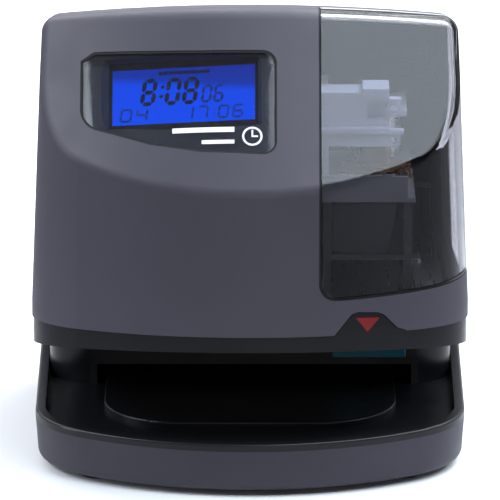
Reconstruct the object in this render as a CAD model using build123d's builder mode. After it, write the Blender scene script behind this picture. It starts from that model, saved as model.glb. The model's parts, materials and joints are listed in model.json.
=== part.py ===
from build123d import *

import math
import os

# Punch time clock: a desk-top card stamping clock, as an assembly of separate pieces.
#
# Frame: millimetres, +X to the clock's right as its user faces it, +Y to the back, +Z up.
# The origin is at the middle of the footprint, on the surface that the feet stand on.

# ---- driving dimensions -------------------------------------------------------------
FRONT_Y = -75.0  # foremost point of the body
REAR_Y = 75.0  # rear face of the body
BOW_R = 112.0  # radius of the bowed front, in plan
PANEL_BOW_R = 150.0  # radius of the sloping panel, in plan; flatter than the front below it
HALF_WIDTH = 76.2  # half the width near the back
HALF_WIDTH_Y = 60.0  # where that half width is measured
SIDE_FLARE = 0.6  # degrees that each side closes in towards the front
FRONT_CORNER_R = 34.0
REAR_CORNER_R = 12.0
DRAFT = 2.5  # degrees that the cover's walls lean in as they rise
DRAFT_Z = 58.0  # height where they start to lean; below it the outline stays the same
FLOOR_Z = 10.0  # where the walls' construction solid starts

WALL = 2.4  # moulded wall of the cover
GAP = 0.3  # assembly gap between moulded parts
SHEET = 1.5  # folded sheet steel
SCREW_R = 1.45  # M3 thread-forming screws
SCREW_HEAD_R = 2.8
SCREW_HEAD_H = 1.8

CREASE_Z = 107.2  # where the upright front turns into the sloping panel
CREASE_Y = FRONT_Y + (CREASE_Z - DRAFT_Z) * math.tan(math.radians(DRAFT))
PANEL_TILT = 35.0  # degrees that the panel leans back from upright
TOP_SLOPE = 13.0  # degrees that the top falls towards the back
TOP_CROWN_R = 770.0  # side-to-side crown of the top
CREST_Y, CREST_Z = -33.0, 162.0  # a point on the top's centre line
EDGE_R = 6.0  # rounding of the cover's edges

BASE_Z = 2.0  # underside of the base, held up by its feet
BASE_INSET = 0.8  # the base and tray stand in this far from the hood
BASE_WALL = 2.0
BASE_TOP_Z = 16.6
RIM_Z = 19.2  # top of the tray's rim
TRAY_FLOOR_Z = 14.8
TABLE_Z = 17.0  # surface that the card slides on
SLOT_ROOF_Z = 22.0
ROOF_T = 2.5

MOUTH_Y, MOUTH_Z = -73.0, 51.6  # front lip of the hood's underside
MOUTH_FALL = 0.20  # fall of that underside per mm towards the back
SEAM_Z = 57.2  # front of the seam between cover and hood
SEAM_FALL = 0.11

COLUMN_X, COLUMN_FRONT_Y, COLUMN_REAR_Y = 71.2, 10.0, 70.4
SLOT_X, SLOT_END_Y = (-54.0, 57.0), 54.0  # the slot that the card goes into
BAY_X, BAY_Y = (4.0, 69.0), (13.0, 66.0)  # hole in the hood's floor over the print mechanism
PRINT_X, PRINT_Y = 40.0, 25.0  # where the clock prints when its carriage is at rest

PLATE_Z = 60.0  # underside of the chassis plate
DECK_Z = 97.0  # underside of the ribbon deck
SHAFT_Y, SHAFT_Z, SHAFT_R = 37.0, 38.0, 3.0
REAR_SHAFT_Y, REAR_SHAFT_R = 50.0, 2.0
PULLEY_X, PULLEY_Y, PULLEY_R = (13.0, 61.0), 60.0, 4.0
BELT_Z, BELT_T = (43.0, 47.0), 1.0
RUN = 0.05  # radial clearance of a running fit
MODULE = 1.0
GEAR_TEETH, PINION_TEETH = 24, 12
FEED_X, FEED_Y = 43.0, -18.0  # axis of the ribbon knob and its gear

WINDOW_X, WINDOW_Z, WINDOW_REAR_Y = 23.3, 69.0, -2.0
LENS_T = (0.6, 2.4)  # depths of the lens's two faces below the cover's outer surface

LCD_X, LCD_UP, LCD_DEPTH = -22.4, 37.4, 7.5  # centre of the display on, and below, the panel
LCD_YAW = 8.2  # degrees that the display faces left
LOCK_Y, LOCK_Z = 30.0, 85.0
LEVER_X, LEVER_Y, LEVER_Z = -20.0, 46.0, 28.0
JACK_X, JACK_Z = -40.0, 34.2
BENCH_HOLES_X, BENCH_HOLE_R = 40.0, 2.25


def slope_plane(y, z, fall, rise=0.0):
    """A plane through (y, z) that falls by `fall` per mm towards the back; its normal points up."""
    return Plane(origin=(0, y, z + rise), x_dir=(1, 0, 0), z_dir=(0, fall, 1))


MOUTH_PLANE = slope_plane(MOUTH_Y, MOUTH_Z, MOUTH_FALL)
SEAM_PLANE = slope_plane(MOUTH_Y, SEAM_Z, SEAM_FALL)


# ---- shared outlines and forms ------------------------------------------------------
def side_x(y):
    """Half width of the body at depth y."""
    return HALF_WIDTH - (HALF_WIDTH_Y - y) * math.tan(math.radians(SIDE_FLARE))


def bow_corner():
    """Where the bowed front would meet the side, before the corner is rounded."""
    centre = FRONT_Y + BOW_R
    low, high = FRONT_Y, centre
    for _ in range(50):
        middle = (low + high) / 2
        if math.sqrt(BOW_R**2 - (middle - centre) ** 2) < side_x(middle):
            low = middle
        else:
            high = middle
    return side_x(low), low


def plan(inset=0.0):
    """The body's plan outline, pulled in by inset all round."""
    x, y = bow_corner()
    with BuildSketch() as outline:
        with BuildLine():
            ThreePointArc((-x, y), (0, FRONT_Y), (x, y))
            Polyline((x, y), (side_x(REAR_Y), REAR_Y), (-side_x(REAR_Y), REAR_Y), (-x, y))
        make_face()
        fillet(outline.vertices().group_by(Axis.Y)[0], FRONT_CORNER_R)
        fillet(outline.vertices().group_by(Axis.Y)[-1], REAR_CORNER_R)
        if inset:
            offset(amount=-inset)
    return outline.sketch


def walls(inset, top=180.0):
    """Solid inside the outer walls: upright as far as DRAFT_Z, and drafted above it."""
    outline = plan(inset)
    with BuildPart() as block:
        with BuildSketch(Plane.XY.offset(FLOOR_Z)):
            add(outline)
        extrude(amount=DRAFT_Z - FLOOR_Z)
        with BuildSketch(Plane.XY.offset(DRAFT_Z)):
            add(outline)
        extrude(amount=top - DRAFT_Z, taper=DRAFT)
    return block.part


def behind_panel(shift):
    """Everything behind the sloping panel's surface, moved back by shift."""
    tilt = math.radians(PANEL_TILT)
    drop = 130.0
    y0 = CREASE_Y + shift - drop * math.tan(tilt)
    reach = 98.0
    y_end = y0 + PANEL_BOW_R - math.sqrt(PANEL_BOW_R**2 - reach**2)
    with BuildPart() as block:
        with BuildSketch(Plane.XY.offset(CREASE_Z - drop)):
            with BuildLine():
                ThreePointArc((-reach, y_end), (0, y0), (reach, y_end))
                Polyline((reach, y_end), (reach, 280), (-reach, 280), (-reach, y_end))
            make_face()
        extrude(amount=240 / math.cos(tilt), dir=(0, math.sin(tilt), math.cos(tilt)))
    return block.part


def under_top(inset):
    """Everything under the crowned, sloping top, lowered by inset."""
    slope = math.radians(TOP_SLOPE)
    along = Vector(0, math.cos(slope), -math.sin(slope))
    normal = Vector(0, math.sin(slope), math.cos(slope))
    half = 96.0
    sag = TOP_CROWN_R - math.sqrt(TOP_CROWN_R**2 - half**2)
    start = Vector(0, CREST_Y, CREST_Z) - normal * inset - along * 80
    with BuildPart() as block:
        with BuildSketch(Plane(origin=start, x_dir=(-1, 0, 0), z_dir=along)):
            with BuildLine():
                ThreePointArc((-half, -sag), (0, 0), (half, -sag))
                Polyline((half, -sag), (half, -200), (-half, -200), (-half, -sag))
            make_face()
        extrude(amount=260)
    return block.part


def body_form(inset):
    """The cover's outer form, pulled in by inset, with every upper edge rounded."""
    upright = walls(inset)
    panel = behind_panel(inset / math.cos(math.radians(PANEL_TILT)))
    top = under_top(inset)
    with BuildPart() as form:
        add(upright)
        add(panel, mode=Mode.INTERSECT)
        add(top, mode=Mode.INTERSECT)
        panel_edges = form.edges().filter_by(
            lambda e: e.geom_type == GeomType.BSPLINE and e.center().Y < 0 and e.center().Z > CREASE_Z - 15
        )
        top_edges = form.edges().filter_by(lambda e: e.center().Z > 130 and e.center().Y > 0)
        fillet(panel_edges + top_edges, max(EDGE_R - inset, 2.0))
    return form.part


FORM = body_form(0)
FORM_INSIDE = body_form(WALL)


# ---- helpers that work on the part being built --------------------------------------
def block(x, y, z, mode=Mode.ADD):
    """A box between (low, high) pairs."""
    with Locations(((x[0] + x[1]) / 2, (y[0] + y[1]) / 2, (z[0] + z[1]) / 2)):
        Box(x[1] - x[0], y[1] - y[0], z[1] - z[0], mode=mode)


def post(x, y, z, radius, mode=Mode.ADD):
    """An upright cylinder between the two heights in z."""
    with Locations((x, y, (z[0] + z[1]) / 2)):
        Cylinder(radius, z[1] - z[0], mode=mode)


def crossbar(x, y, z, radius, mode=Mode.ADD):
    """A cylinder along X between the two values in x."""
    with Locations(((x[0] + x[1]) / 2, y, z)):
        Cylinder(radius, x[1] - x[0], rotation=(0, 90, 0), mode=mode)


def screw(x, y, seat, length, up=False):
    """A cross-head screw whose head sits on the height seat; up points its shank upwards."""
    way = 1 if up else -1
    post(x, y, sorted((seat, seat + way * length)), SCREW_R)
    post(x, y, sorted((seat, seat - way * SCREW_HEAD_H)), SCREW_HEAD_R)
    recess = sorted((seat - way * SCREW_HEAD_H, seat - way * 0.7))
    block((x - 1.7, x + 1.7), (y - 0.4, y + 0.4), recess, Mode.SUBTRACT)
    block((x - 0.4, x + 0.4), (y - 1.7, y + 1.7), recess, Mode.SUBTRACT)


def height(plane_y, plane_z, fall, y):
    """Height at depth y of a plane that falls towards the back."""
    return plane_z - fall * (y - plane_y)


def mouth_height(y):
    """Height of the hood's underside at depth y."""
    return height(MOUTH_Y, MOUTH_Z, MOUTH_FALL, y)


def front_prism(outline):
    """Cut from the front: an X-Z sketch pushed straight back through the front wall."""
    with BuildPart() as cutter:
        with BuildSketch(Plane(origin=(0, FRONT_Y - 5, 0), x_dir=(1, 0, 0), z_dir=(0, -1, 0))):
            add(outline)
        extrude(amount=-30)
    return cutter.part


def gear_outline(teeth, phase=0.0, backlash=0.12):
    """An involute spur gear's outline, with a tooth centred on the angle phase in degrees."""
    pitch_r = MODULE * teeth / 2
    base_r = pitch_r * math.cos(math.radians(20))
    tip_r = pitch_r + MODULE * 0.9
    root_r = pitch_r - MODULE * 1.25

    def flank(radius):
        if radius <= base_r:
            return 0.0
        roll = math.sqrt((radius / base_r) ** 2 - 1)
        return roll - math.atan(roll)

    half = math.pi / (2 * teeth) - backlash / (2 * pitch_r) + flank(pitch_r)
    radii = [root_r] + [max(base_r, root_r) + (tip_r - max(base_r, root_r)) * k / 4 for k in range(5)]
    side = [(r, half - flank(r)) for r in radii]
    points = []
    for tooth in range(teeth):
        centre = 2 * math.pi * tooth / teeth + math.radians(phase)
        points += [(r * math.cos(centre - a), r * math.sin(centre - a)) for r, a in side]
        points += [(r * math.cos(centre + a), r * math.sin(centre + a)) for r, a in reversed(side)]
    with BuildSketch() as outline:
        with BuildLine():
            Polyline(*points, close=True)
        make_face()
    return outline.sketch


# ---- base ---------------------------------------------------------------------------
BASE_SCREWS = [(58, -38), (-58, -38), (62, 66), (-62, 66)]
BOSS_SPLIT_Z = 8.0  # where the base's bosses meet the tray's
TRAY_UNDER_Z = TRAY_FLOOR_Z - 2.0
RIM_T = 3.5  # thickness of the tray's rim
FOOT_PLACES = [(52, -46), (-52, -46), (60, 52), (-60, 52)]


def base_shell():
    """The lower housing: an open-topped bowl with screw bosses."""
    floor = BASE_Z + WALL
    with BuildPart() as shell:
        with BuildSketch(Plane.XY.offset(BASE_TOP_Z)):
            add(plan(BASE_INSET))
        extrude(amount=-(BASE_TOP_Z - BASE_Z), taper=4)
        fillet(shell.faces().sort_by(Axis.Z)[0].edges(), 3)
        with BuildSketch(Plane.XY.offset(BASE_TOP_Z)):
            add(plan(BASE_INSET + BASE_WALL))
        extrude(amount=-(BASE_TOP_Z - floor), taper=4, mode=Mode.SUBTRACT)
        for x, y in BASE_SCREWS:
            post(x, y, (BASE_Z + 1, BOSS_SPLIT_Z), 4.2)
            post(x, y, (BASE_Z, BASE_Z + 2.6), SCREW_HEAD_R + 0.4, Mode.SUBTRACT)
            post(x, y, (BASE_Z, BOSS_SPLIT_Z), SCREW_R + 0.2, Mode.SUBTRACT)
        for x, y in FOOT_PLACES:
            post(x, y, (BASE_Z, floor), 2.5, Mode.SUBTRACT)
        for x in (-BENCH_HOLES_X, BENCH_HOLES_X):
            post(x, 0, (BASE_Z, floor), BENCH_HOLE_R, Mode.SUBTRACT)
    return shell.part


def base_feet():
    """Four rubber feet, each pulled through a hole in the base by its stem."""
    stem_top = BASE_Z + WALL
    with BuildPart() as feet:
        with Locations(*[(x, y, 0) for x, y in FOOT_PLACES]):
            Cone(6.4, 7.0, 0.8, align=(Align.CENTER, Align.CENTER, Align.MIN))
        for x, y in FOOT_PLACES:
            post(x, y, (0.8, BASE_Z), 7.0)
            post(x, y, (BASE_Z, stem_top), 2.5)
            post(x, y, (stem_top, stem_top + 1.2), 3.4)
    return feet.part


def base_screws():
    """Screws that hold the base up to the tray."""
    with BuildPart() as screws:
        for x, y in BASE_SCREWS:
            screw(x, y, BASE_Z + 2.6, 8.0, up=True)
    return screws.part


# ---- card tray and print station ----------------------------------------------------
def card_tray():
    """The tray that the card slides over, with its rim and hanging skirt."""
    with BuildPart() as tray:
        with BuildSketch(Plane.XY.offset(BASE_TOP_Z)):
            add(plan(BASE_INSET))
        extrude(amount=RIM_Z - BASE_TOP_Z, taper=DRAFT)
        fillet(tray.faces().sort_by(Axis.Z)[-1].edges(), 0.8)
        with BuildSketch(Plane.XY.offset(TRAY_UNDER_Z)):
            add(plan(BASE_INSET + BASE_WALL + GAP))
        extrude(amount=BASE_TOP_Z - TRAY_UNDER_Z)
        with BuildSketch(Plane.XY.offset(TRAY_FLOOR_Z)):
            add(plan(BASE_INSET + RIM_T))
        extrude(amount=RIM_Z - TRAY_FLOOR_Z, mode=Mode.SUBTRACT)
        for x, y in BASE_SCREWS:
            post(x, y, (BOSS_SPLIT_Z, TRAY_UNDER_Z), 4.2)
            post(x, y, (BOSS_SPLIT_Z, BASE_Z + 10.6), SCREW_R, Mode.SUBTRACT)
        for x, y in COLUMN_SCREWS_BELOW:
            post(x, y, (TRAY_UNDER_Z, TRAY_FLOOR_Z), SCREW_R + 0.2, Mode.SUBTRACT)
    return tray.part


TABLE_X, TABLE_FRONT_Y, TABLE_REAR_Y = 51.0, -41.0, 50.0
PLATEN_X, PLATEN_Y, PLATEN_T = (27.0, 50.5), (18.0, 32.0), 1.5


def card_table():
    """The raised D-shaped table that the card lies on."""
    with BuildPart() as table:
        with BuildSketch(Plane.XY.offset(TRAY_FLOOR_Z)) as outline:
            with Locations((0, (TABLE_FRONT_Y + TABLE_REAR_Y) / 2)):
                Rectangle(2 * TABLE_X, TABLE_REAR_Y - TABLE_FRONT_Y)
            fillet(outline.vertices().group_by(Axis.Y)[0], 26)
        extrude(amount=TABLE_Z - TRAY_FLOOR_Z)
        fillet(table.faces().sort_by(Axis.Z)[-1].edges().filter_by(lambda e: e.center().Y < 0), 0.9)
        block((PLATEN_X[0] - 4, PLATEN_X[1]), PLATEN_Y, (TABLE_Z - PLATEN_T, TABLE_Z), Mode.SUBTRACT)
    return table.part


def platen():
    """The hard rubber bar that the card is printed against."""
    with BuildPart() as bar:
        block((PLATEN_X[0] - 4, PLATEN_X[1]), PLATEN_Y, (TABLE_Z - PLATEN_T, TABLE_Z))
        chamfer(bar.faces().sort_by(Axis.Z)[-1].edges(), 0.3)
    return bar.part


COLUMN_SCREWS = [(-66.2, 28.0), (-66.2, 56.0), (-2.0, 22.0), (-2.0, 59.0)]
COLUMN_SCREWS_BELOW = [(-66.0, 42.0), (66.0, 40.0)]
SPOT_H = 3.6  # height of the screw pads above the hood's underside
PRINT_HOLE_X, PRINT_HOLE_Y = (7.2, 66.8), (17.0, 31.0)
GUIDE_X, GUIDE_Z = (29.0, 55.0), (24.8, 33.0)


def column_outline(inset):
    """Plan of the rear column, pulled in by inset."""
    with BuildSketch() as outline:
        with Locations((0, (COLUMN_FRONT_Y + COLUMN_REAR_Y) / 2)):
            Rectangle(2 * COLUMN_X, COLUMN_REAR_Y - COLUMN_FRONT_Y)
        fillet(outline.vertices().group_by(Axis.Y)[0], 16)
        fillet(outline.vertices().group_by(Axis.Y)[-1], 10)
        if inset:
            offset(amount=-inset)
    return outline.sketch


def rear_column():
    """The hollow wedge behind the throat: it carries the hood and holds the card slot."""
    roof = SLOT_ROOF_Z + ROOF_T
    with BuildPart() as column:
        with BuildSketch(Plane.XY.offset(TRAY_FLOOR_Z)):
            add(column_outline(0))
        extrude(amount=30)
        with BuildSketch(Plane.XY.offset(TRAY_FLOOR_Z)):
            add(column_outline(WALL))
        extrude(amount=30, mode=Mode.SUBTRACT)
        block((SLOT_X[0] - WALL, SLOT_X[1] + WALL), (COLUMN_FRONT_Y, SLOT_END_Y + WALL), (TRAY_FLOOR_Z, roof))
        for x, y in COLUMN_SCREWS:
            low = roof if (x > -50 and y < SLOT_END_Y) else TRAY_FLOOR_Z
            post(x, y, (low, 40), 3.6)
        for x, y in COLUMN_SCREWS_BELOW:
            post(x, y, (TRAY_FLOOR_Z, roof), 4.0)
        block(SLOT_X, (COLUMN_FRONT_Y - 1, SLOT_END_Y), (TRAY_FLOOR_Z, SLOT_ROOF_Z), Mode.SUBTRACT)
        block(PRINT_HOLE_X, PRINT_HOLE_Y, (SLOT_ROOF_Z - 1, roof + 1), Mode.SUBTRACT)
        block((LEVER_X - 4, LEVER_X + 4), (36, 53), (SLOT_ROOF_Z - 1, roof + 1), Mode.SUBTRACT)
        block(GUIDE_X, (COLUMN_FRONT_Y - 1, COLUMN_FRONT_Y + WALL + 0.1), GUIDE_Z, Mode.SUBTRACT)
        for x, y in COLUMN_SCREWS:
            top = mouth_height(y) + SPOT_H
            post(x, y, (top - 8, 45), SCREW_R, Mode.SUBTRACT)
        for x, y in COLUMN_SCREWS_BELOW:
            post(x, y, (TRAY_FLOOR_Z, TRAY_FLOOR_Z + 6), SCREW_R, Mode.SUBTRACT)
        split(bisect_by=MOUTH_PLANE, keep=Keep.BOTTOM)
    return column.part


def card_guide():
    """Clear guide in the column's face, over the place where the card is stamped."""
    with BuildPart() as guide:
        block(
            (GUIDE_X[0], GUIDE_X[1]),
            (COLUMN_FRONT_Y - 0.8, COLUMN_FRONT_Y + WALL),
            (GUIDE_Z[0], GUIDE_Z[1]),
        )
        block((GUIDE_X[0] + 3, GUIDE_X[1] - 3), (COLUMN_FRONT_Y + 1.2, 20), (27, 31), Mode.SUBTRACT)
        fillet(guide.edges().filter_by(Axis.Z).group_by(Axis.Y)[0], 0.6)
    return guide.part


def column_screws():
    """Screws that hold the hood to the column, and the column to the tray."""
    with BuildPart() as screws:
        for x, y in COLUMN_SCREWS:
            screw(x, y, mouth_height(y) + SPOT_H, 8.0)
        for x, y in COLUMN_SCREWS_BELOW:
            screw(x, y, TRAY_UNDER_Z, 8.0, up=True)
    return screws.part


# ---- hood ---------------------------------------------------------------------------
def tab_outline(grow=0.0):
    """The raised tab on the hood's front that carries the print marker, in X and Z."""
    with BuildSketch() as outline:
        with BuildLine():
            Polyline((26, 54), (29, 57), (34.5, 63.7), (36.7, 64.3), (43.2, 63.5), (45.4, 62.4))
            Polyline((45.4, 62.4), (49.8, 57.4), (52.9, 56), (54, 54), (26, 54))
        make_face()
        if grow:
            offset(amount=grow)
    return outline.sketch


MARKER_POINTS = [(35.5, 62.7), (44.3, 61.9), (39.8, 57.0)]


def marker_outline(grow=0.0):
    """The downward triangle that shows where the clock prints, in X and Z."""
    with BuildSketch() as outline:
        with BuildLine():
            Polyline(*MARKER_POINTS, close=True)
        make_face()
        if grow:
            offset(amount=grow)
    return outline.sketch


HOOD_INSET, HOOD_WALL = 0.5, 2.6
LIP_INSET, LIP_T, LIP_H = 2.9, 2.0, 4.0
PLATE_POSTS = [(-61.0, -24.0), (62.0, -28.0), (-58.0, 34.0), (-8.0, 50.0), (-8.0, -57.0)]


def hood_frame():
    """The band over the throat: its floor is the throat's roof and the mechanism's deck."""
    outer = walls(HOOD_INSET, 80)
    inner = walls(HOOD_INSET + HOOD_WALL, 81)
    lip_outer = walls(LIP_INSET, 80)
    lip_inner = walls(LIP_INSET + LIP_T, 81)
    tab = front_prism(tab_outline())
    with BuildPart() as rim:
        add(outer)
        split(bisect_by=MOUTH_PLANE, keep=Keep.TOP)
        split(bisect_by=SEAM_PLANE, keep=Keep.BOTTOM)
    with BuildPart() as lip:
        add(lip_outer)
        add(lip_inner, mode=Mode.SUBTRACT)
        split(bisect_by=slope_plane(MOUTH_Y, MOUTH_Z, MOUTH_FALL, 1.0), keep=Keep.TOP)
        split(bisect_by=slope_plane(MOUTH_Y, SEAM_Z, SEAM_FALL, LIP_H), keep=Keep.BOTTOM)
    with BuildPart() as room:
        add(inner)
        split(bisect_by=slope_plane(MOUTH_Y, MOUTH_Z, MOUTH_FALL, 2.2), keep=Keep.TOP)
    with BuildPart() as tab_wall:
        add(outer)
        add(inner, mode=Mode.SUBTRACT)
        add(tab, mode=Mode.INTERSECT)
    with BuildPart() as hood:
        add(rim.part)
        add(room.part, mode=Mode.SUBTRACT)
        add(lip.part)
        add(tab_wall.part)
        for x, y in PLATE_POSTS:
            post(x, y, (mouth_height(y) + 1.5, PLATE_Z), 4.0)
            post(x, y, (PLATE_Z - 10, PLATE_Z + 1), SCREW_R, Mode.SUBTRACT)
        for x, y in COLUMN_SCREWS:
            post(x, y, (mouth_height(y) + 1, mouth_height(y) + SPOT_H), 4.0)
            post(x, y, (mouth_height(y) - 3, mouth_height(y) + SPOT_H), SCREW_R + 0.2, Mode.SUBTRACT)
        block(BAY_X, BAY_Y, (20, 45), Mode.SUBTRACT)
        block((LEVER_X - 9, LEVER_X + 9), (LEVER_Y - 6, LEVER_Y + 8), (20, 45), Mode.SUBTRACT)
        block((JACK_X - 5.2, JACK_X + 5.2), (66, 80), (JACK_Z - 5.7, JACK_Z + 5.7), Mode.SUBTRACT)
        add(marker_pocket(0.0), mode=Mode.SUBTRACT)
    return hood.part


def marker_pocket(shrink):
    """The marker's space: the triangle, 0.8 deep in the hood's front face."""
    prism = front_prism(marker_outline(-shrink))
    with BuildPart() as pocket:
        add(walls(HOOD_INSET - 0.1, 80))
        add(walls(HOOD_INSET + 0.8, 81), mode=Mode.SUBTRACT)
        add(prism, mode=Mode.INTERSECT)
    return pocket.part


def print_marker():
    """Red triangle let into the tab, over the print position."""
    with BuildPart() as marker:
        add(marker_pocket(0.1))
    return marker.part


def power_jack():
    """Low-voltage inlet in the hood's rear."""
    face = REAR_Y - 1.4
    with BuildPart() as jack:
        block((JACK_X - 5, JACK_X + 5), (face - 13, face), (JACK_Z - 5.5, JACK_Z + 5.5))
        chamfer(jack.faces().sort_by(Axis.Y)[-1].edges(), 0.4)
        with Locations((JACK_X, face - 5, JACK_Z)):
            Cylinder(3.2, 10.2, rotation=(90, 0, 0), mode=Mode.SUBTRACT)
        with Locations((JACK_X, face - 6, JACK_Z)):
            Cylinder(1.0, 9, rotation=(90, 0, 0))
    return jack.part


# ---- chassis and print mechanism ----------------------------------------------------
FRAME_X = (6.0, 68.0)
DECK_TOP_Z = 51.5
FRAME_SCREWS = [(16.0, 5.0), (58.0, 5.0)]
CASSETTE_X, CASSETTE_Y, CASSETTE_Z = (28.0, 50.0), (-42.0, 30.0), (78.0, 95.5)
BOARD_PILLARS = [(-54.0, -40.0), (-14.0, -40.0), (-54.0, 0.0), (-14.0, 0.0)]
BOARD_Z = 66.0


def chassis_plate():
    """L-shaped steel plate on the hood's posts; everything under the cover hangs on it."""
    with BuildPart() as plate:
        with BuildSketch(Plane.XY.offset(PLATE_Z)):
            add(plan(8))
        extrude(amount=SHEET)
        block((2, 90), (10, 90), (PLATE_Z - 1, PLATE_Z + 3), Mode.SUBTRACT)
        for x, y in PLATE_POSTS + FRAME_SCREWS:
            post(x, y, (PLATE_Z - 1, PLATE_Z + 3), SCREW_R + 0.15, Mode.SUBTRACT)
    return plate.part


def chassis_screws():
    """Screws that hold the chassis plate to the hood's posts."""
    with BuildPart() as screws:
        for x, y in PLATE_POSTS:
            screw(x, y, PLATE_Z + SHEET, 10.0)
    return screws.part


def print_frame():
    """Folded steel frame, hung under the plate, that carries the carriage's shafts."""
    side = [(0, PLATE_Z), (68, PLATE_Z), (68, 27), (26, 27), (26, 42), (0, 42)]
    with BuildPart() as frame:
        for x in (FRAME_X[0], FRAME_X[1] - SHEET):
            with BuildSketch(Plane.YZ.offset(x)) as profile:
                with BuildLine():
                    Polyline(*side, close=True)
                make_face()
                fillet(profile.vertices(), 2)
            extrude(amount=SHEET)
        block(FRAME_X, (0, 10), (PLATE_Z - SHEET, PLATE_Z))
        block(FRAME_X, (50, 68), (DECK_TOP_Z - SHEET, DECK_TOP_Z))
        for x in PULLEY_X:
            post(x, PULLEY_Y, (45, 55), 3.2 if x == PULLEY_X[0] else 1.5, Mode.SUBTRACT)
        for y, radius in ((SHAFT_Y, SHAFT_R), (REAR_SHAFT_Y, REAR_SHAFT_R)):
            crossbar(FRAME_X, y, SHAFT_Z, radius, Mode.SUBTRACT)
        for x, y in FRAME_SCREWS:
            post(x, y, (PLATE_Z - 3, PLATE_Z + 1), SCREW_R, Mode.SUBTRACT)
    return frame.part


def frame_screws():
    """Screws that hold the print frame under the chassis plate."""
    with BuildPart() as screws:
        for x, y in FRAME_SCREWS:
            screw(x, y, PLATE_Z + SHEET, 5.0)
    return screws.part


def guide_shaft_main():
    """Ground shaft that the carriage's bushes run on."""
    with BuildPart() as shaft:
        crossbar((FRAME_X[0] - 1.5, FRAME_X[1] + 0.8), SHAFT_Y, SHAFT_Z, SHAFT_R)
        chamfer(shaft.edges().filter_by(GeomType.CIRCLE), 0.4)
    return shaft.part


def guide_shaft_rear():
    """Second, thinner shaft that stops the carriage turning."""
    with BuildPart() as shaft:
        crossbar((FRAME_X[0] - 1.5, FRAME_X[1] + 0.8), REAR_SHAFT_Y, SHAFT_Z, REAR_SHAFT_R)
        chamfer(shaft.edges().filter_by(GeomType.CIRCLE), 0.3)
    return shaft.part


def idler_shaft():
    """Fixed pin under the frame's deck that the idler pulley turns on."""
    with BuildPart() as pin:
        post(PULLEY_X[1], PULLEY_Y, (39.5, DECK_TOP_Z), 1.5)
        post(PULLEY_X[1], PULLEY_Y, (38.5, 40.5), 2.4)
    return pin.part


def drive_belt():
    """Closed belt round the two pulleys."""
    centre_x = sum(PULLEY_X) / 2
    span = PULLEY_X[1] - PULLEY_X[0]
    with BuildPart() as belt:
        with BuildSketch(Plane.XY.offset(BELT_Z[0])):
            with Locations((centre_x, PULLEY_Y)):
                SlotCenterToCenter(span, 2 * (PULLEY_R + BELT_T))
                SlotCenterToCenter(span, 2 * (PULLEY_R + RUN), mode=Mode.SUBTRACT)
        extrude(amount=BELT_Z[1] - BELT_Z[0])
    return belt.part


def pulley(x, bore):
    """A flanged pulley for the belt, with its bore or, for bore 0, a solid middle."""
    with BuildPart() as wheel:
        post(x, PULLEY_Y, (BELT_Z[0] - 1, BELT_Z[1] + 1), PULLEY_R)
        for z in (BELT_Z[0] - 1.2, BELT_Z[1] + 0.2):
            post(x, PULLEY_Y, (z, z + 1), PULLEY_R + 1.5)
        if bore:
            post(x, PULLEY_Y, (BELT_Z[0] - 3, BELT_Z[1] + 3), bore, Mode.SUBTRACT)
    return wheel.part


def motor_pulley():
    """Driving pulley with the motor's spindle fixed in it."""
    with BuildPart() as wheel:
        add(pulley(PULLEY_X[0], 0))
        post(PULLEY_X[0], PULLEY_Y, (BELT_Z[1], DECK_TOP_Z + 6), 1.5)
    return wheel.part


def idler_pulley():
    """Free pulley at the belt's other end."""
    return pulley(PULLEY_X[1], 1.5 + RUN)


def carriage_motor():
    """Motor on the frame's deck that moves the carriage."""
    with BuildPart() as motor:
        post(PULLEY_X[0] + 5, PULLEY_Y, (DECK_TOP_Z, DECK_TOP_Z + 16), 8.5)
        chamfer(motor.faces().sort_by(Axis.Z)[-1].edges(), 0.8)
        post(PULLEY_X[0], PULLEY_Y, (DECK_TOP_Z, DECK_TOP_Z + 8), 1.5 + RUN, Mode.SUBTRACT)
    return motor.part


BODY_X, BODY_Y, BODY_Z = (28.0, 52.0), (32.0, 54.0), (32.0, 44.0)
BUSH_R, BUSH_L = 4.6, 6.0


def carriage_body():
    """Carriage block: it runs on both shafts and is clamped to the belt."""
    belt_y = PULLEY_Y - PULLEY_R
    with BuildPart() as body:
        block(BODY_X, BODY_Y, BODY_Z)
        fillet(body.edges().filter_by(Axis.X), 1.5)
        block((PRINT_X - 4, PRINT_X + 4), (50, belt_y + 2.3), (BODY_Z[1] - 4, BELT_Z[1] + 2))
        block(
            (PRINT_X - 5, PRINT_X + 5),
            (belt_y - BELT_T - GAP, belt_y + GAP),
            (BODY_Z[1] - 5, BELT_Z[1] + 0.4),
            Mode.SUBTRACT,
        )
        crossbar(BODY_X, SHAFT_Y, SHAFT_Z, SHAFT_R + 0.3, Mode.SUBTRACT)
        for x in (BODY_X[0], BODY_X[1] - BUSH_L):
            crossbar((x, x + BUSH_L), SHAFT_Y, SHAFT_Z, BUSH_R, Mode.SUBTRACT)
        crossbar(BODY_X, REAR_SHAFT_Y, SHAFT_Z, REAR_SHAFT_R + RUN, Mode.SUBTRACT)
    return body.part


def carriage_bushes():
    """Two plain bearing bushes pressed into the carriage."""
    with BuildPart() as bushes:
        for x in (BODY_X[0], BODY_X[1] - BUSH_L):
            crossbar((x, x + BUSH_L), SHAFT_Y, SHAFT_Z, BUSH_R)
            crossbar((x, x + BUSH_L), SHAFT_Y, SHAFT_Z, SHAFT_R + RUN, Mode.SUBTRACT)
    return bushes.part


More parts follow.
